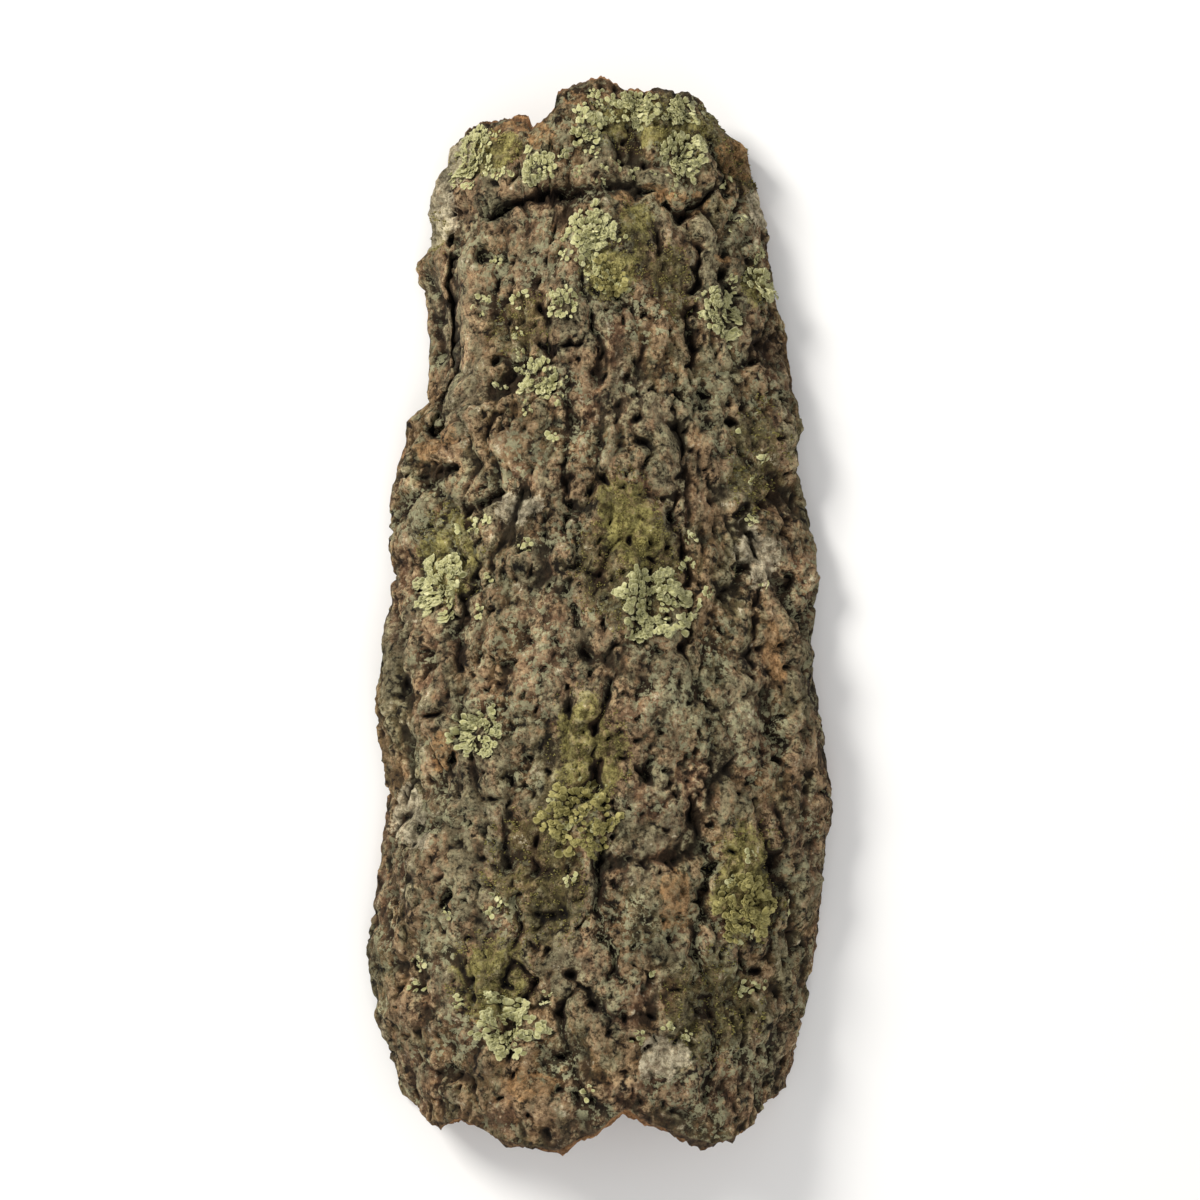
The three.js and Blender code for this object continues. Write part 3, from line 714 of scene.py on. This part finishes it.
def lobe_sheets(arc, y, facing, length, width, lift, curl, seed, perch):
    """Closed thin sheets, one for each lobe, with rounded and notched tips. Each lies on the bark at
    its root, `perch` above the crumbs there, and lifts towards its tip. Returns points, faces and two
    numbers for each point: the lobe's own tone, and how near its edge the point is."""
    count = len(arc)
    k = np.arange(count)
    along = LOBE_LENGTHS[None, :, None]
    across = LOBE_SIDES[None, None, :]

    notch = per_lobe(mix(-0.05, 0.3, chance(k, seed, 131)))
    twist = per_lobe(mix(-0.5, 0.5, chance(k, seed, 132)))
    tip = 1 - LOBE_ROUNDING * across**2 - notch * np.exp(-((across / 0.35) ** 2))
    forward = per_lobe(length) * along * tip
    spread = 0.4 + 0.6 * np.sin(1.9 * along) ** 0.8
    sideways = per_lobe(width) * across * spread
    turn = per_lobe(facing) + twist * along * 0.5
    lobe_arc = per_lobe(arc) + forward * np.cos(turn) - sideways * np.sin(turn)
    lobe_y = per_lobe(y) + forward * np.sin(turn) + sideways * np.cos(turn)
    ruffle = RUFFLE_HEIGHT * waves(lobe_arc / 1.7, lobe_y / 1.7, 133 + seed)
    rise = per_lobe(lift) * along**1.6 + per_lobe(curl) * across**2 * along + ruffle
    rise += perch + CRUMB_HOLD * per_lobe(crumb_relief(arc, y, 0.0))
    angle, py = held_in(lobe_arc / ARC_RADIUS, lobe_y)
    top = back_point(angle, py, rise, crumbs=False)
    under = back_point(angle, py, rise - LOBE_THICKNESS, crumbs=False)
    points = np.concatenate([top.reshape(count, -1, 3), under.reshape(count, -1, 3)], 1)

    drift = 0.5 + 0.6 * waves(arc / 4.2, y / 4.2, 135)
    tone = np.repeat(np.clip(mix(drift, chance(k, seed, 134), 0.55), 0, 1), 2 * SHEET_POINTS)
    edge = np.tile((np.maximum(np.abs(across), along) ** 3).ravel(), 2 * count)
    return points.reshape(-1, 3), sheet_faces(count), tone, edge


def rosette(place, radius, seed):
    """The lobes of one leafy lichen, in whorls from its middle to its edge."""
    x, y = place
    middle = angle_over(np.array([float(x)]), np.array([float(y)]))[0] * ARC_RADIUS
    count = int(LOBES_PER_AREA * radius**2)
    k = np.arange(count)
    way = GOLDEN_TURN * k + 0.7 * chance(k, seed, 141)
    uneven = LICHEN_WAVER * waves(1.3 * np.cos(way), 1.3 * np.sin(way), seed)
    outline = radius * (1 + uneven + LICHEN_NOTCH * np.cos(LICHEN_LOBES * way))
    reach = outline * np.sqrt((k + 0.5) / count) * 0.86
    arc = middle + reach * np.cos(way)
    py = y + reach * np.sin(way)
    strayed_arc = ROSETTE_STRAY * waves(arc / 5, py / 5, 148 + seed)
    strayed_y = ROSETTE_STRAY * waves(arc / 5, py / 5, 149 + seed)
    arc = arc + strayed_arc
    py = py + strayed_y
    facing = way + 2.6 * (chance(k, seed, 142) - 0.5)
    outer = reach / outline
    length = mix(1.4, 2.8, outer) * mix(0.6, 1.4, chance(k, seed, 143))
    width = length * mix(0.28, 0.5, chance(k, seed, 144))
    lift = mix(1.4, 0.5, outer) * mix(0.3, 1.5, chance(k, seed, 145))
    curl = mix(0.1, 0.9, chance(k, seed, 146))
    kept = waves(arc / 3.4, py / 3.4, 147 + seed) > -0.16
    return arc[kept], py[kept], facing[kept], length[kept], width[kept], lift[kept], curl[kept]


def lichen_piece(name, parts, material, seed, perch):
    """All the lobes of one lichen, or all the loose ones, as one piece."""
    points, faces, tone, edge = lobe_sheets(*off_the_rim(parts), seed, perch)
    marks = {"tone": tone, "edge": edge}
    return make_piece(name, in_row_frame(points), faces.tolist(), material, marks)


# Places where small loose lobes grow, a few together: (x, y, half width, half length, how many).
CLUMP_LOBES = 9
CLUMP_RADIUS = 2.6
LOOSE_LOBES = [
    (18, 203, 26, 8, 180), (-46, 184, 16, 14, 90), (-14, 180, 26, 12, 99), (0, 136, 14, 26, 198),
    (34, 178, 20, 12, 90), (46, 118, 14, 22, 72), (-34, 120, 20, 30, 72), (-20, 80, 22, 16, 72),
    (62, 140, 14, 26, 30), (-52, 14, 26, 30, 60), (22, 6, 28, 30, 70), (0, -90, 34, 34, 70),
    (56, -120, 26, 36, 60), (-50, -150, 30, 40, 50), (16, -170, 44, 26, 50), (60, 40, 20, 36, 40),
]


def loose_lobes(seed):
    """The lobes that grow by themselves, a few together in a clump."""
    gathered = [[] for _ in range(7)]
    for n, (x, y, across, up, count) in enumerate(LOOSE_LOBES):
        k = np.arange(count) + 1000 * n
        clump = k // CLUMP_LOBES
        way = 2 * math.pi * chance(clump, seed, 151)
        far = chance(clump, seed, 152) ** 0.7
        strayed = CLUMP_RADIUS * np.sqrt(chance(k, seed, 158))
        stray_way = 2 * math.pi * chance(k, seed, 159)
        px = x + across * far * np.cos(way) + strayed * np.cos(stray_way)
        py = y + up * far * np.sin(way) + strayed * np.sin(stray_way)
        arc = angle_over(px, py) * ARC_RADIUS
        length = mix(1.1, 2.6, chance(k, seed, 153) ** 1.5)
        values = (
            arc, py, 2 * math.pi * chance(k, seed, 154), length,
            length * mix(0.35, 0.55, chance(k, seed, 155)),
            mix(0.1, 0.7, chance(k, seed, 156)), mix(0.1, 0.5, chance(k, seed, 157)),
        )
        for store, value in zip(gathered, values):
            store.append(value)
    return [np.concatenate(store) for store in gathered]


# Moss: short tufts on the green films.
TUFT_SPACING = 0.85
TUFT_LEVEL = 0.05
TUFT_ROOT = 0.2


def moss_piece(name, places, material, seed):
    """A carpet of short pointed tufts, each a closed three-sided spike that leans its own way."""
    xs, ys = [], []
    for n, (x, y, across, up, turn) in enumerate(places):
        count = int(math.pi * across * up / TUFT_SPACING**2)
        k = np.arange(count) + 10000 * n
        way = 2 * math.pi * chance(k, seed, 161)
        far = 1.1 * np.sqrt(chance(k, seed, 162))
        u = across * far * np.cos(way)
        v = up * far * np.sin(way)
        xs.append(x + u * math.cos(turn) - v * math.sin(turn))
        ys.append(y + u * math.sin(turn) + v * math.cos(turn))
    x, y = np.concatenate(xs), np.concatenate(ys)
    k = np.arange(len(x))
    clump = waves(x / 3.2, y / 3.8, 163) + 0.6 * waves(x / 7, y / 9, 164)
    clump += 0.5 * (chance(k, seed, 165) - 0.5)
    grown = clump > TUFT_LEVEL
    x, y, clump = x[grown], y[grown], clump[grown]

    count = len(x)
    k = np.arange(count)
    arc = angle_over(x, y) * ARC_RADIUS
    width = mix(0.3, 0.6, chance(k, seed, 166))
    tall = mix(0.5, 1.3, chance(k, seed, 167)) * mix(0.7, 1.2, smoothstep(clump, 0, 1))
    first = 2 * math.pi * chance(k, seed, 168)
    lean = mix(0.1, 0.7, chance(k, seed, 169))
    lean_way = 2 * math.pi * chance(k, seed, 170)
    corners = []
    for corner in range(3):
        way = first + corner * 2 * math.pi / 3
        angle, py = held_in((arc + width * np.cos(way)) / ARC_RADIUS, y + width * np.sin(way))
        corners.append(back_point(angle, py, -TUFT_ROOT))
    tip_arc = arc + lean * np.cos(lean_way)
    angle, py = held_in(tip_arc / ARC_RADIUS, y + lean * np.sin(lean_way))
    corners.append(back_point(angle, py, tall))
    points = np.stack(corners, 1).reshape(-1, 3)
    one = np.array([(0, 1, 3), (1, 2, 3), (2, 0, 3), (2, 1, 0)])
    faces = (one[None] + 4 * k[:, None, None]).reshape(-1, 3)
    marks = {
        "tone": np.repeat(chance(k, seed, 171), 4),
        "edge": np.tile([0.0, 0.0, 0.0, 1.0], count),
    }
    return make_piece(name, in_row_frame(points), faces.tolist(), material, marks)


# Materials

def srgb(red, green, blue):
    """A colour as it looks on a screen, from 0 to 255, as the linear colour that a shader takes."""
    def linear(value):
        value /= 255
        return value / 12.92 if value <= 0.04045 else ((value + 0.055) / 1.055) ** 2.4

    return (linear(red), linear(green), linear(blue), 1.0)


def add_node(tree, kind, inputs=(), **settings):
    """Adds a node. Each input is a number, a colour or another node's socket."""
    made = tree.nodes.new(kind)
    for key, value in settings.items():
        setattr(made, key, value)
    for key, value in dict(inputs).items():
        if isinstance(value, bpy.types.NodeSocket):
            tree.links.new(value, made.inputs[key])
        else:
            made.inputs[key].default_value = value
    return made


def maths(tree, operation, first, second=0.0):
    return add_node(tree, "ShaderNodeMath", {0: first, 1: second}, operation=operation).outputs[0]


def plus(tree, first, second):
    return maths(tree, "ADD", first, second)


def times(tree, first, second):
    return maths(tree, "MULTIPLY", first, second)


def blend(tree, share, below, above, how="MIX"):
    inputs = {0: share, 6: below, 7: above}
    made = add_node(tree, "ShaderNodeMix", inputs, data_type="RGBA", blend_type=how)
    return made.outputs[2]


def stretch(tree, value, low, high, to_low=0.0, to_high=1.0):
    inputs = {"Value": value, "From Min": low, "From Max": high, "To Min": to_low, "To Max": to_high}
    return add_node(tree, "ShaderNodeMapRange", inputs, interpolation_type="SMOOTHSTEP").outputs[0]


def two_tone(tree, texture, low, high, pair):
    """A colour that goes from the pair's first to its second as the texture goes from low to high."""
    return blend(tree, stretch(tree, texture, low, high), *pair)


def noise(tree, scale, detail, roughness, where, colour=False):
    inputs = {"Vector": where, "Scale": scale, "Detail": detail, "Roughness": roughness}
    return add_node(tree, "ShaderNodeTexNoise", inputs).outputs["Color" if colour else "Fac"]


def drawn_out(tree, where, share):
    """The places for a texture that is drawn out along the slab."""
    inputs = {"Vector": where, "Scale": (1.0, share, 1.0)}
    return add_node(tree, "ShaderNodeMapping", inputs).outputs[0]


def mask(tree, name):
    return add_node(tree, "ShaderNodeAttribute", attribute_name=name).outputs["Fac"]


def new_material(name):
    made = bpy.data.materials.new(name)
    made.use_nodes = True
    tree = made.node_tree
    tree.nodes.clear()
    shader = tree.nodes.new("ShaderNodeBsdfPrincipled")
    output = tree.nodes.new("ShaderNodeOutputMaterial")
    tree.links.new(shader.outputs[0], output.inputs[0])
    return made, tree, shader


def finish_surface(tree, shader, colour, roughness, specular):
    tree.links.new(colour, shader.inputs["Base Color"])
    shader.inputs["Roughness"].default_value = roughness
    shader.inputs["Specular IOR Level"].default_value = specular


def finish_bump(tree, shader, height, strength, distance):
    inputs = {"Height": height, "Strength": strength, "Distance": distance}
    bump = add_node(tree, "ShaderNodeBump", inputs)
    tree.links.new(bump.outputs[0], shader.inputs["Normal"])


def weathering_group():
    """Weathering: blotches of two sizes that vary a colour, and the height of a fine crumbly grain."""
    tree = bpy.data.node_groups.new("Weathering", "ShaderNodeTree")
    face = tree.interface
    face.new_socket("Colour", in_out="INPUT", socket_type="NodeSocketColor")
    for name in ("Blotch Size", "Blotch Strength", "Grain Size"):
        face.new_socket(name, in_out="INPUT", socket_type="NodeSocketFloat")
    face.new_socket("Colour", in_out="OUTPUT", socket_type="NodeSocketColor")
    face.new_socket("Grain", in_out="OUTPUT", socket_type="NodeSocketFloat")
    taken = tree.nodes.new("NodeGroupInput")
    given = tree.nodes.new("NodeGroupOutput")
    where = add_node(tree, "ShaderNodeTexCoord").outputs["Object"]
    blotch_scale = maths(tree, "DIVIDE", 1.0, taken.outputs["Blotch Size"])
    grain_scale = maths(tree, "DIVIDE", 1.0, taken.outputs["Grain Size"])
    blotch = noise(tree, blotch_scale, 5.0, 0.62, where)
    grain = noise(tree, grain_scale, 3.0, 0.7, where)
    swing = times(tree, maths(tree, "SUBTRACT", blotch, 0.5), taken.outputs["Blotch Strength"])
    speck = times(tree, maths(tree, "SUBTRACT", grain, 0.5), 0.8)
    factor = plus(tree, plus(tree, swing, speck), 1.0)
    grey = add_node(tree, "ShaderNodeCombineColor", {0: factor, 1: factor, 2: factor}).outputs[0]
    varied = blend(tree, 1.0, taken.outputs["Colour"], grey, "MULTIPLY")
    tree.links.new(varied, given.inputs["Colour"])
    tree.links.new(grain, given.inputs["Grain"])
    return tree


def weathered(tree, group, colour, blotch_size, blotch_strength, grain_size):
    inputs = {
        "Colour": colour, "Blotch Size": blotch_size,
        "Blotch Strength": blotch_strength, "Grain Size": grain_size,
    }
    made = add_node(tree, "ShaderNodeGroup", inputs, node_tree=group)
    return made.outputs["Colour"], made.outputs["Grain"]


# The colours of the bark. A pair is a dark and a light one that a texture goes between.
DULL_BARK = srgb(84, 69, 46), srgb(146, 126, 90)
RUSSET_BARK = srgb(68, 53, 41), srgb(124, 99, 76)
PALER_BARK = srgb(104, 87, 69), srgb(166, 144, 115)
OLIVE_ALGAE = srgb(62, 54, 30), srgb(104, 95, 56)
YELLOW_ALGAE = srgb(84, 76, 38), srgb(170, 160, 96)
CHALKY_CRUST = srgb(152, 140, 112), srgb(220, 207, 174)
WORN_CORK = srgb(120, 90, 56), srgb(188, 146, 98)
FRESH_CORK = srgb(128, 90, 56), srgb(190, 142, 94)
AGED_CORK = srgb(56, 43, 31), srgb(112, 92, 68)
BELLY_CORK = srgb(130, 91, 61), srgb(160, 118, 82)
WARM_SPECK = srgb(180, 148, 108)
# Painted highlight for the raised crumbs.
PAINTED_CRUMB_HIGHLIGHT = srgb(190, 172, 136)
# Painted highlight for the crests of the lumps.
PAINTED_CREST_HIGHLIGHT = srgb(178, 158, 126)
PALE_SPOT = srgb(172, 169, 132)
DARK_GRIT = srgb(46, 36, 24)
# Painted shade for the gaps between the crumbs.
PAINTED_GAP_SHADE = srgb(34, 26, 17)
# Painted shade for the hollows and cracks of the back.
PAINTED_HOLLOW_SHADE = srgb(50, 40, 28)
# Painted shade for the small pockets and pits.
PAINTED_POCKET_SHADE = srgb(34, 26, 18)
YEAR_LINE = srgb(98, 66, 40)
BELLY_DASH = srgb(84, 55, 36)
GREENISH_TINT = (0.76, 0.84, 0.79, 1.0)
RUDDY_TINT = (0.96, 0.84, 0.75, 1.0)

# The colours of what grows on it, from dark to light.
PALE_LICHEN = srgb(84, 83, 47), srgb(166, 163, 111), srgb(218, 214, 166)
YELLOW_LICHEN = srgb(80, 74, 34), srgb(140, 131, 76), srgb(190, 180, 118)
GREEN_MOSS = srgb(70, 63, 28), srgb(124, 115, 58), srgb(168, 158, 96)


class CorkTextures:
    """The textures that the bark's colours and its bump share: crumbs of cork, from some 4 mm down
    to the finest grit, with pores between them, and blotches of several sizes."""

    def __init__(self, tree):
        self.hollow = mask(tree, "hollow")
        self.pocket = mask(tree, "pocket")
        self.where = add_node(tree, "ShaderNodeTexCoord").outputs["Object"]
        bent = noise(tree, 170.0, 3.0, 0.6, self.where, colour=True)
        moved = add_node(tree, "ShaderNodeVectorMath", {0: bent, "Scale": 0.004}, operation="SCALE")
        both = {0: self.where, 1: moved.outputs[0]}
        self.loosened = add_node(tree, "ShaderNodeVectorMath", both, operation="ADD").outputs[0]
        crumbs = {"Vector": self.loosened, "Scale": 330.0}
        self.crumb = add_node(tree, "ShaderNodeTexVoronoi", crumbs, feature="F1").outputs["Distance"]
        self.grit = noise(tree, 420.0, 4.0, 0.78, self.where)
        self.speck = noise(tree, 240.0, 4.0, 0.7, self.loosened)
        self.mottle = noise(tree, 120.0, 5.0, 0.74, self.where)
        self.broad = noise(tree, 30.0, 5.0, 0.65, self.where)
        self.patchy = plus(tree, times(tree, self.mottle, 0.6), times(tree, self.grit, 0.4))


def back_colour(tree, cork):
    """The back: brown, paler in patches, with painted shade in its cracks, hollows, pockets and the
    gaps between its crumbs, and painted highlights on its crests and raised crumbs.
    """
    dull = two_tone(tree, cork.mottle, 0.36, 0.64, DULL_BARK)
    russet = two_tone(tree, cork.mottle, 0.38, 0.62, RUSSET_BARK)
    back = blend(tree, stretch(tree, cork.broad, 0.45, 0.56), dull, russet)
    pale = two_tone(tree, cork.mottle, 0.38, 0.62, PALER_BARK)
    # Paler, lighter brown in the listed patches.
    back = blend(tree, times(tree, mask(tree, "paler_patches"), 0.62), back, pale)
    back = blend(tree, stretch(tree, cork.speck, 0.55, 0.63, 0.0, 0.55), back, WARM_SPECK)
    # Painted highlight: paler where small crumbs stand above the bark just around them.
    crumb_highlight = times(tree, stretch(tree, cork.pocket, 0.53, 0.33), stretch(tree, cork.grit, 0.42, 0.6))
    back = blend(tree, crumb_highlight, back, PAINTED_CRUMB_HIGHLIGHT)
    # Painted highlight: paler on the crests of the lumps.
    crest_highlight = times(tree, stretch(tree, cork.hollow, 0.49, 0.35), stretch(tree, cork.mottle, 0.4, 0.56))
    back = blend(tree, times(tree, crest_highlight, 0.5), back, PAINTED_CREST_HIGHLIGHT)
    back = blend(tree, stretch(tree, cork.grit, 0.49, 0.38, 0.0, 0.65), back, DARK_GRIT)
    # Painted shade: darker in the gaps between the crumbs, where the bump sinks.
    between = times(tree, stretch(tree, cork.crumb, 0.5, 0.8), stretch(tree, cork.mottle, 0.56, 0.44))
    back = blend(tree, between, back, PAINTED_GAP_SHADE)
    # Painted shade: darker where the back lies below the bark around it.
    back = blend(tree, stretch(tree, cork.hollow, 0.5, 0.64, 0.0, 0.9), back, PAINTED_HOLLOW_SHADE)
    # Painted shade: darkest in small pockets and pits, well below the bark just around them.
    return blend(tree, stretch(tree, cork.pocket, 0.58, 0.88), back, PAINTED_POCKET_SHADE)


def tinted(tree, cork, back):
    """The same colour with a hue that strays between ruddy and greenish from lump to lump."""
    drawn = drawn_out(tree, cork.loosened, 0.4)
    stray = plus(tree, noise(tree, 230.0, 4.0, 0.7, drawn), noise(tree, 50.0, 3.0, 0.6, drawn))
    tint = two_tone(tree, stray, 0.9, 1.1, (GREENISH_TINT, RUDDY_TINT))
    return blend(tree, 1.0, back, tint, "MULTIPLY")


def spotted(tree, cork, back):
    """The same colour with specks of a pale crust on it, strewn in clusters."""
    strewn = times(tree, mask(tree, "pale_crust"), 0.14)
    clusters = stretch(tree, plus(tree, noise(tree, 38.0, 3.0, 0.6, cork.where), strewn), 0.46, 0.62)
    spot = stretch(tree, noise(tree, 330.0, 3.0, 0.7, cork.where), 0.51, 0.58)
    return blend(tree, times(tree, times(tree, clusters, spot), 0.8), back, PALE_SPOT)


def filmed(tree, cork, back):
    """The same colour under thin films of algae and crust, and rubbed down in places to the warm
    cork. Their edges break up into specks."""
    tatter = times(tree, maths(tree, "SUBTRACT", cork.patchy, 0.5), 3.4)
    broken = stretch(tree, cork.speck, 0.42, 0.54, 0.45, 1.0)
    off_hollows = times(tree, stretch(tree, cork.hollow, 0.68, 0.54), broken)
    for name, reach, middle, colour in (
        ("olive_film", 0.75, 0.55, two_tone(tree, cork.grit, 0.4, 0.6, OLIVE_ALGAE)),
        ("yellow_film", 0.9, 0.6, two_tone(tree, cork.patchy, 0.42, 0.58, YELLOW_ALGAE)),
        ("grey_crust", 0.9, 0.38, two_tone(tree, cork.grit, 0.4, 0.6, CHALKY_CRUST)),
        ("warm_wear", 0.8, 0.8, two_tone(tree, cork.grit, 0.4, 0.6, WORN_CORK)),
    ):
        torn = plus(tree, mask(tree, name), tatter)
        share = stretch(tree, torn, middle - 0.14, middle + 0.14, 0.0, reach)
        back = blend(tree, times(tree, share, off_hollows), back, colour)
    return back


def rim_colour(tree, cork):
    """The rim: broken cork, dark under the back and orange-brown below, with a fine line for each
    year's growth."""
    depth = mask(tree, "layer")
    years = plus(tree, times(tree, depth, 44.0), times(tree, cork.mottle, 16.0))
    line = stretch(tree, maths(tree, "SINE", years), -0.2, 1.0)
    fresh = two_tone(tree, cork.grit, 0.38, 0.62, FRESH_CORK)
    fresh = blend(tree, times(tree, line, 0.5), fresh, YEAR_LINE)
    aged = two_tone(tree, cork.grit, 0.4, 0.6, AGED_CORK)
    crusted = plus(tree, depth, times(tree, maths(tree, "SUBTRACT", cork.broad, 0.5), 2.2))
    return blend(tree, stretch(tree, crusted, 0.1, 0.42), aged, fresh)


def belly_colour(tree, cork):
    """The belly: smooth reddish brown with lengthwise streaks."""
    lengthwise = drawn_out(tree, cork.where, 0.1)
    streaked = two_tone(tree, noise(tree, 480.0, 4.0, 0.7, lengthwise), 0.36, 0.64, BELLY_CORK)
    dashes = stretch(tree, noise(tree, 1500.0, 2.0, 0.5, lengthwise), 0.62, 0.7, 0.0, 0.6)
    return blend(tree, dashes, streaked, BELLY_DASH)


def bark_material(group):
    made, tree, shader = new_material("cork_bark")
    cork = CorkTextures(tree)
    on_belly = mask(tree, "belly")
    back = tinted(tree, cork, back_colour(tree, cork))
    back = filmed(tree, cork, spotted(tree, cork, back))
    colour = blend(tree, mask(tree, "rim"), back, rim_colour(tree, cork))
    colour = blend(tree, on_belly, colour, belly_colour(tree, cork))
    blotched = stretch(tree, on_belly, 0.0, 1.0, 2.7, 0.6)
    varied, grain = weathered(
        tree, group, colour, blotch_size=0.016, blotch_strength=blotched, grain_size=0.0011
    )
    finish_surface(tree, shader, varied, roughness=0.92, specular=0.2)

    roughened = stretch(tree, on_belly, 0.0, 1.0, 1.0, 0.25)
    crumbs = maths(tree, "SUBTRACT", times(tree, cork.grit, 1.6), cork.crumb)
    crumbs = times(tree, plus(tree, crumbs, times(tree, cork.mottle, 1.4)), roughened)
    height = plus(tree, crumbs, times(tree, grain, 0.3))
    finish_bump(tree, shader, height, strength=1.0, distance=0.002)
    return made


def lichen_material(name, group, dark, middle, light):
    made, tree, shader = new_material(name)
    where = add_node(tree, "ShaderNodeTexCoord").outputs["Object"]
    tone = mask(tree, "tone")
    colour = two_tone(tree, tone, 0.0, 0.6, (dark, middle))
    colour = blend(tree, stretch(tree, tone, 0.55, 1.0, 0.0, 0.9), colour, light)
    edge = stretch(tree, mask(tree, "edge"), 0.3, 1.0, 0.0, 0.5)
    colour = blend(tree, edge, colour, light)
    varied, grain = weathered(
        tree, group, colour, blotch_size=0.004, blotch_strength=0.5, grain_size=0.0007
    )
    finish_surface(tree, shader, varied, roughness=0.85, specular=0.25)
    wrinkle = noise(tree, 900.0, 3.0, 0.6, where)
    finish_bump(tree, shader, plus(tree, grain, wrinkle), strength=0.6, distance=0.0004)
    return made


def floor_material():
    made, tree, shader = new_material("pale_floor")
    where = add_node(tree, "ShaderNodeTexCoord").outputs["Object"]
    colour = blend(tree, noise(tree, 3.0, 2.0, 0.5, where), srgb(232, 231, 228), srgb(238, 237, 234))
    finish_surface(tree, shader, colour, roughness=0.7, specular=0.2)
    return made


# The pieces

LICHEN_SEED = 80
MOSS_SEED = 9
LOOSE_SEED = 7

weathering = weathering_group()
bark = bark_piece(bark_material(weathering))
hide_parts("bark_slab")
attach(bark, "root")

lichen_looks = {
    "pale": lichen_material("pale_lichen", weathering, *PALE_LICHEN),
    "yellow": lichen_material("yellow_lichen", weathering, *YELLOW_LICHEN),
}
counts = {"pale": 0, "yellow": 0}
for seed, (colour, place, radius) in enumerate(LICHENS, LICHEN_SEED):
    counts[colour] += 1
    name = f"lichen_lobes_{colour}_{counts[colour]}"
    lobes = rosette(place, radius, seed)
    piece = lichen_piece(name, lobes, lichen_looks[colour], seed, ROSETTE_PERCH)
    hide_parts(f"lichen_{colour}_{counts[colour]}")
    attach(piece, "root")

moss = lichen_material("green_moss", weathering, *GREEN_MOSS)
tufts = moss_piece("moss_tufts", FILMS["yellow_film"] + FILMS["olive_film"], moss, MOSS_SEED)
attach(tufts, "root")

lobes = loose_lobes(LOOSE_SEED)
loose = lichen_piece("lichen_loose_lobes", lobes, lichen_looks["pale"], LOOSE_SEED, LOOSE_PERCH)
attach(loose, "root")


# The floor, the light and the camera

LIT_PLACE = (0, 0, 0.03)


def add_floor():
    half = 6.0
    corners = np.array([(-half, -half, 0), (half, -half, 0), (half, half, 0), (-half, half, 0)])
    floor = make_piece("floor", corners, [(0, 1, 2, 3)], floor_material())


def aim(thing, target):
    thing.rotation_euler = (Vector(target) - thing.location).to_track_quat("-Z", "Y").to_euler()


def add_light(name, place, size, watts, colour=(1, 1, 1)):
    light = bpy.data.lights.new(name, "AREA")
    light.size = size
    light.energy = watts
    light.color = colour
    holder = bpy.data.objects.new(name, light)
    holder.location = place
    bpy.context.scene.collection.objects.link(holder)
    aim(holder, LIT_PLACE)


def add_camera(distance, elevation, target, lens):
    camera = bpy.data.objects.new("camera", bpy.data.cameras.new("camera"))
    camera.data.lens = lens
    camera.data.sensor_width = 36
    lean = math.radians(elevation)
    away = Vector((0, -math.cos(lean), math.sin(lean)))
    camera.location = Vector(target) + away * distance
    aim(camera, target)
    bpy.context.scene.collection.objects.link(camera)
    bpy.context.scene.camera = camera


add_floor()
add_light("key_light", (-0.9, 0.7, 1.1), size=0.5, watts=24, colour=(1.0, 0.98, 0.95))
add_light("fill_light", (1.2, -0.2, 1.2), size=1.2, watts=3.5, colour=(0.98, 0.98, 1.0))
add_light("front_light", (0.1, -1.3, 1.0), size=1.0, watts=7)
world = bpy.data.worlds.new("studio")
world.use_nodes = True
background = world.node_tree.nodes["Background"]
background.inputs["Color"].default_value = (0.98, 0.98, 1.0, 1.0)
background.inputs["Strength"].default_value = 0.55
bpy.context.scene.world = world
bpy.context.scene.view_settings.view_transform = "Standard"
add_camera(distance=1.15, elevation=84, target=(0, 0.002, 0.03), lens=85)
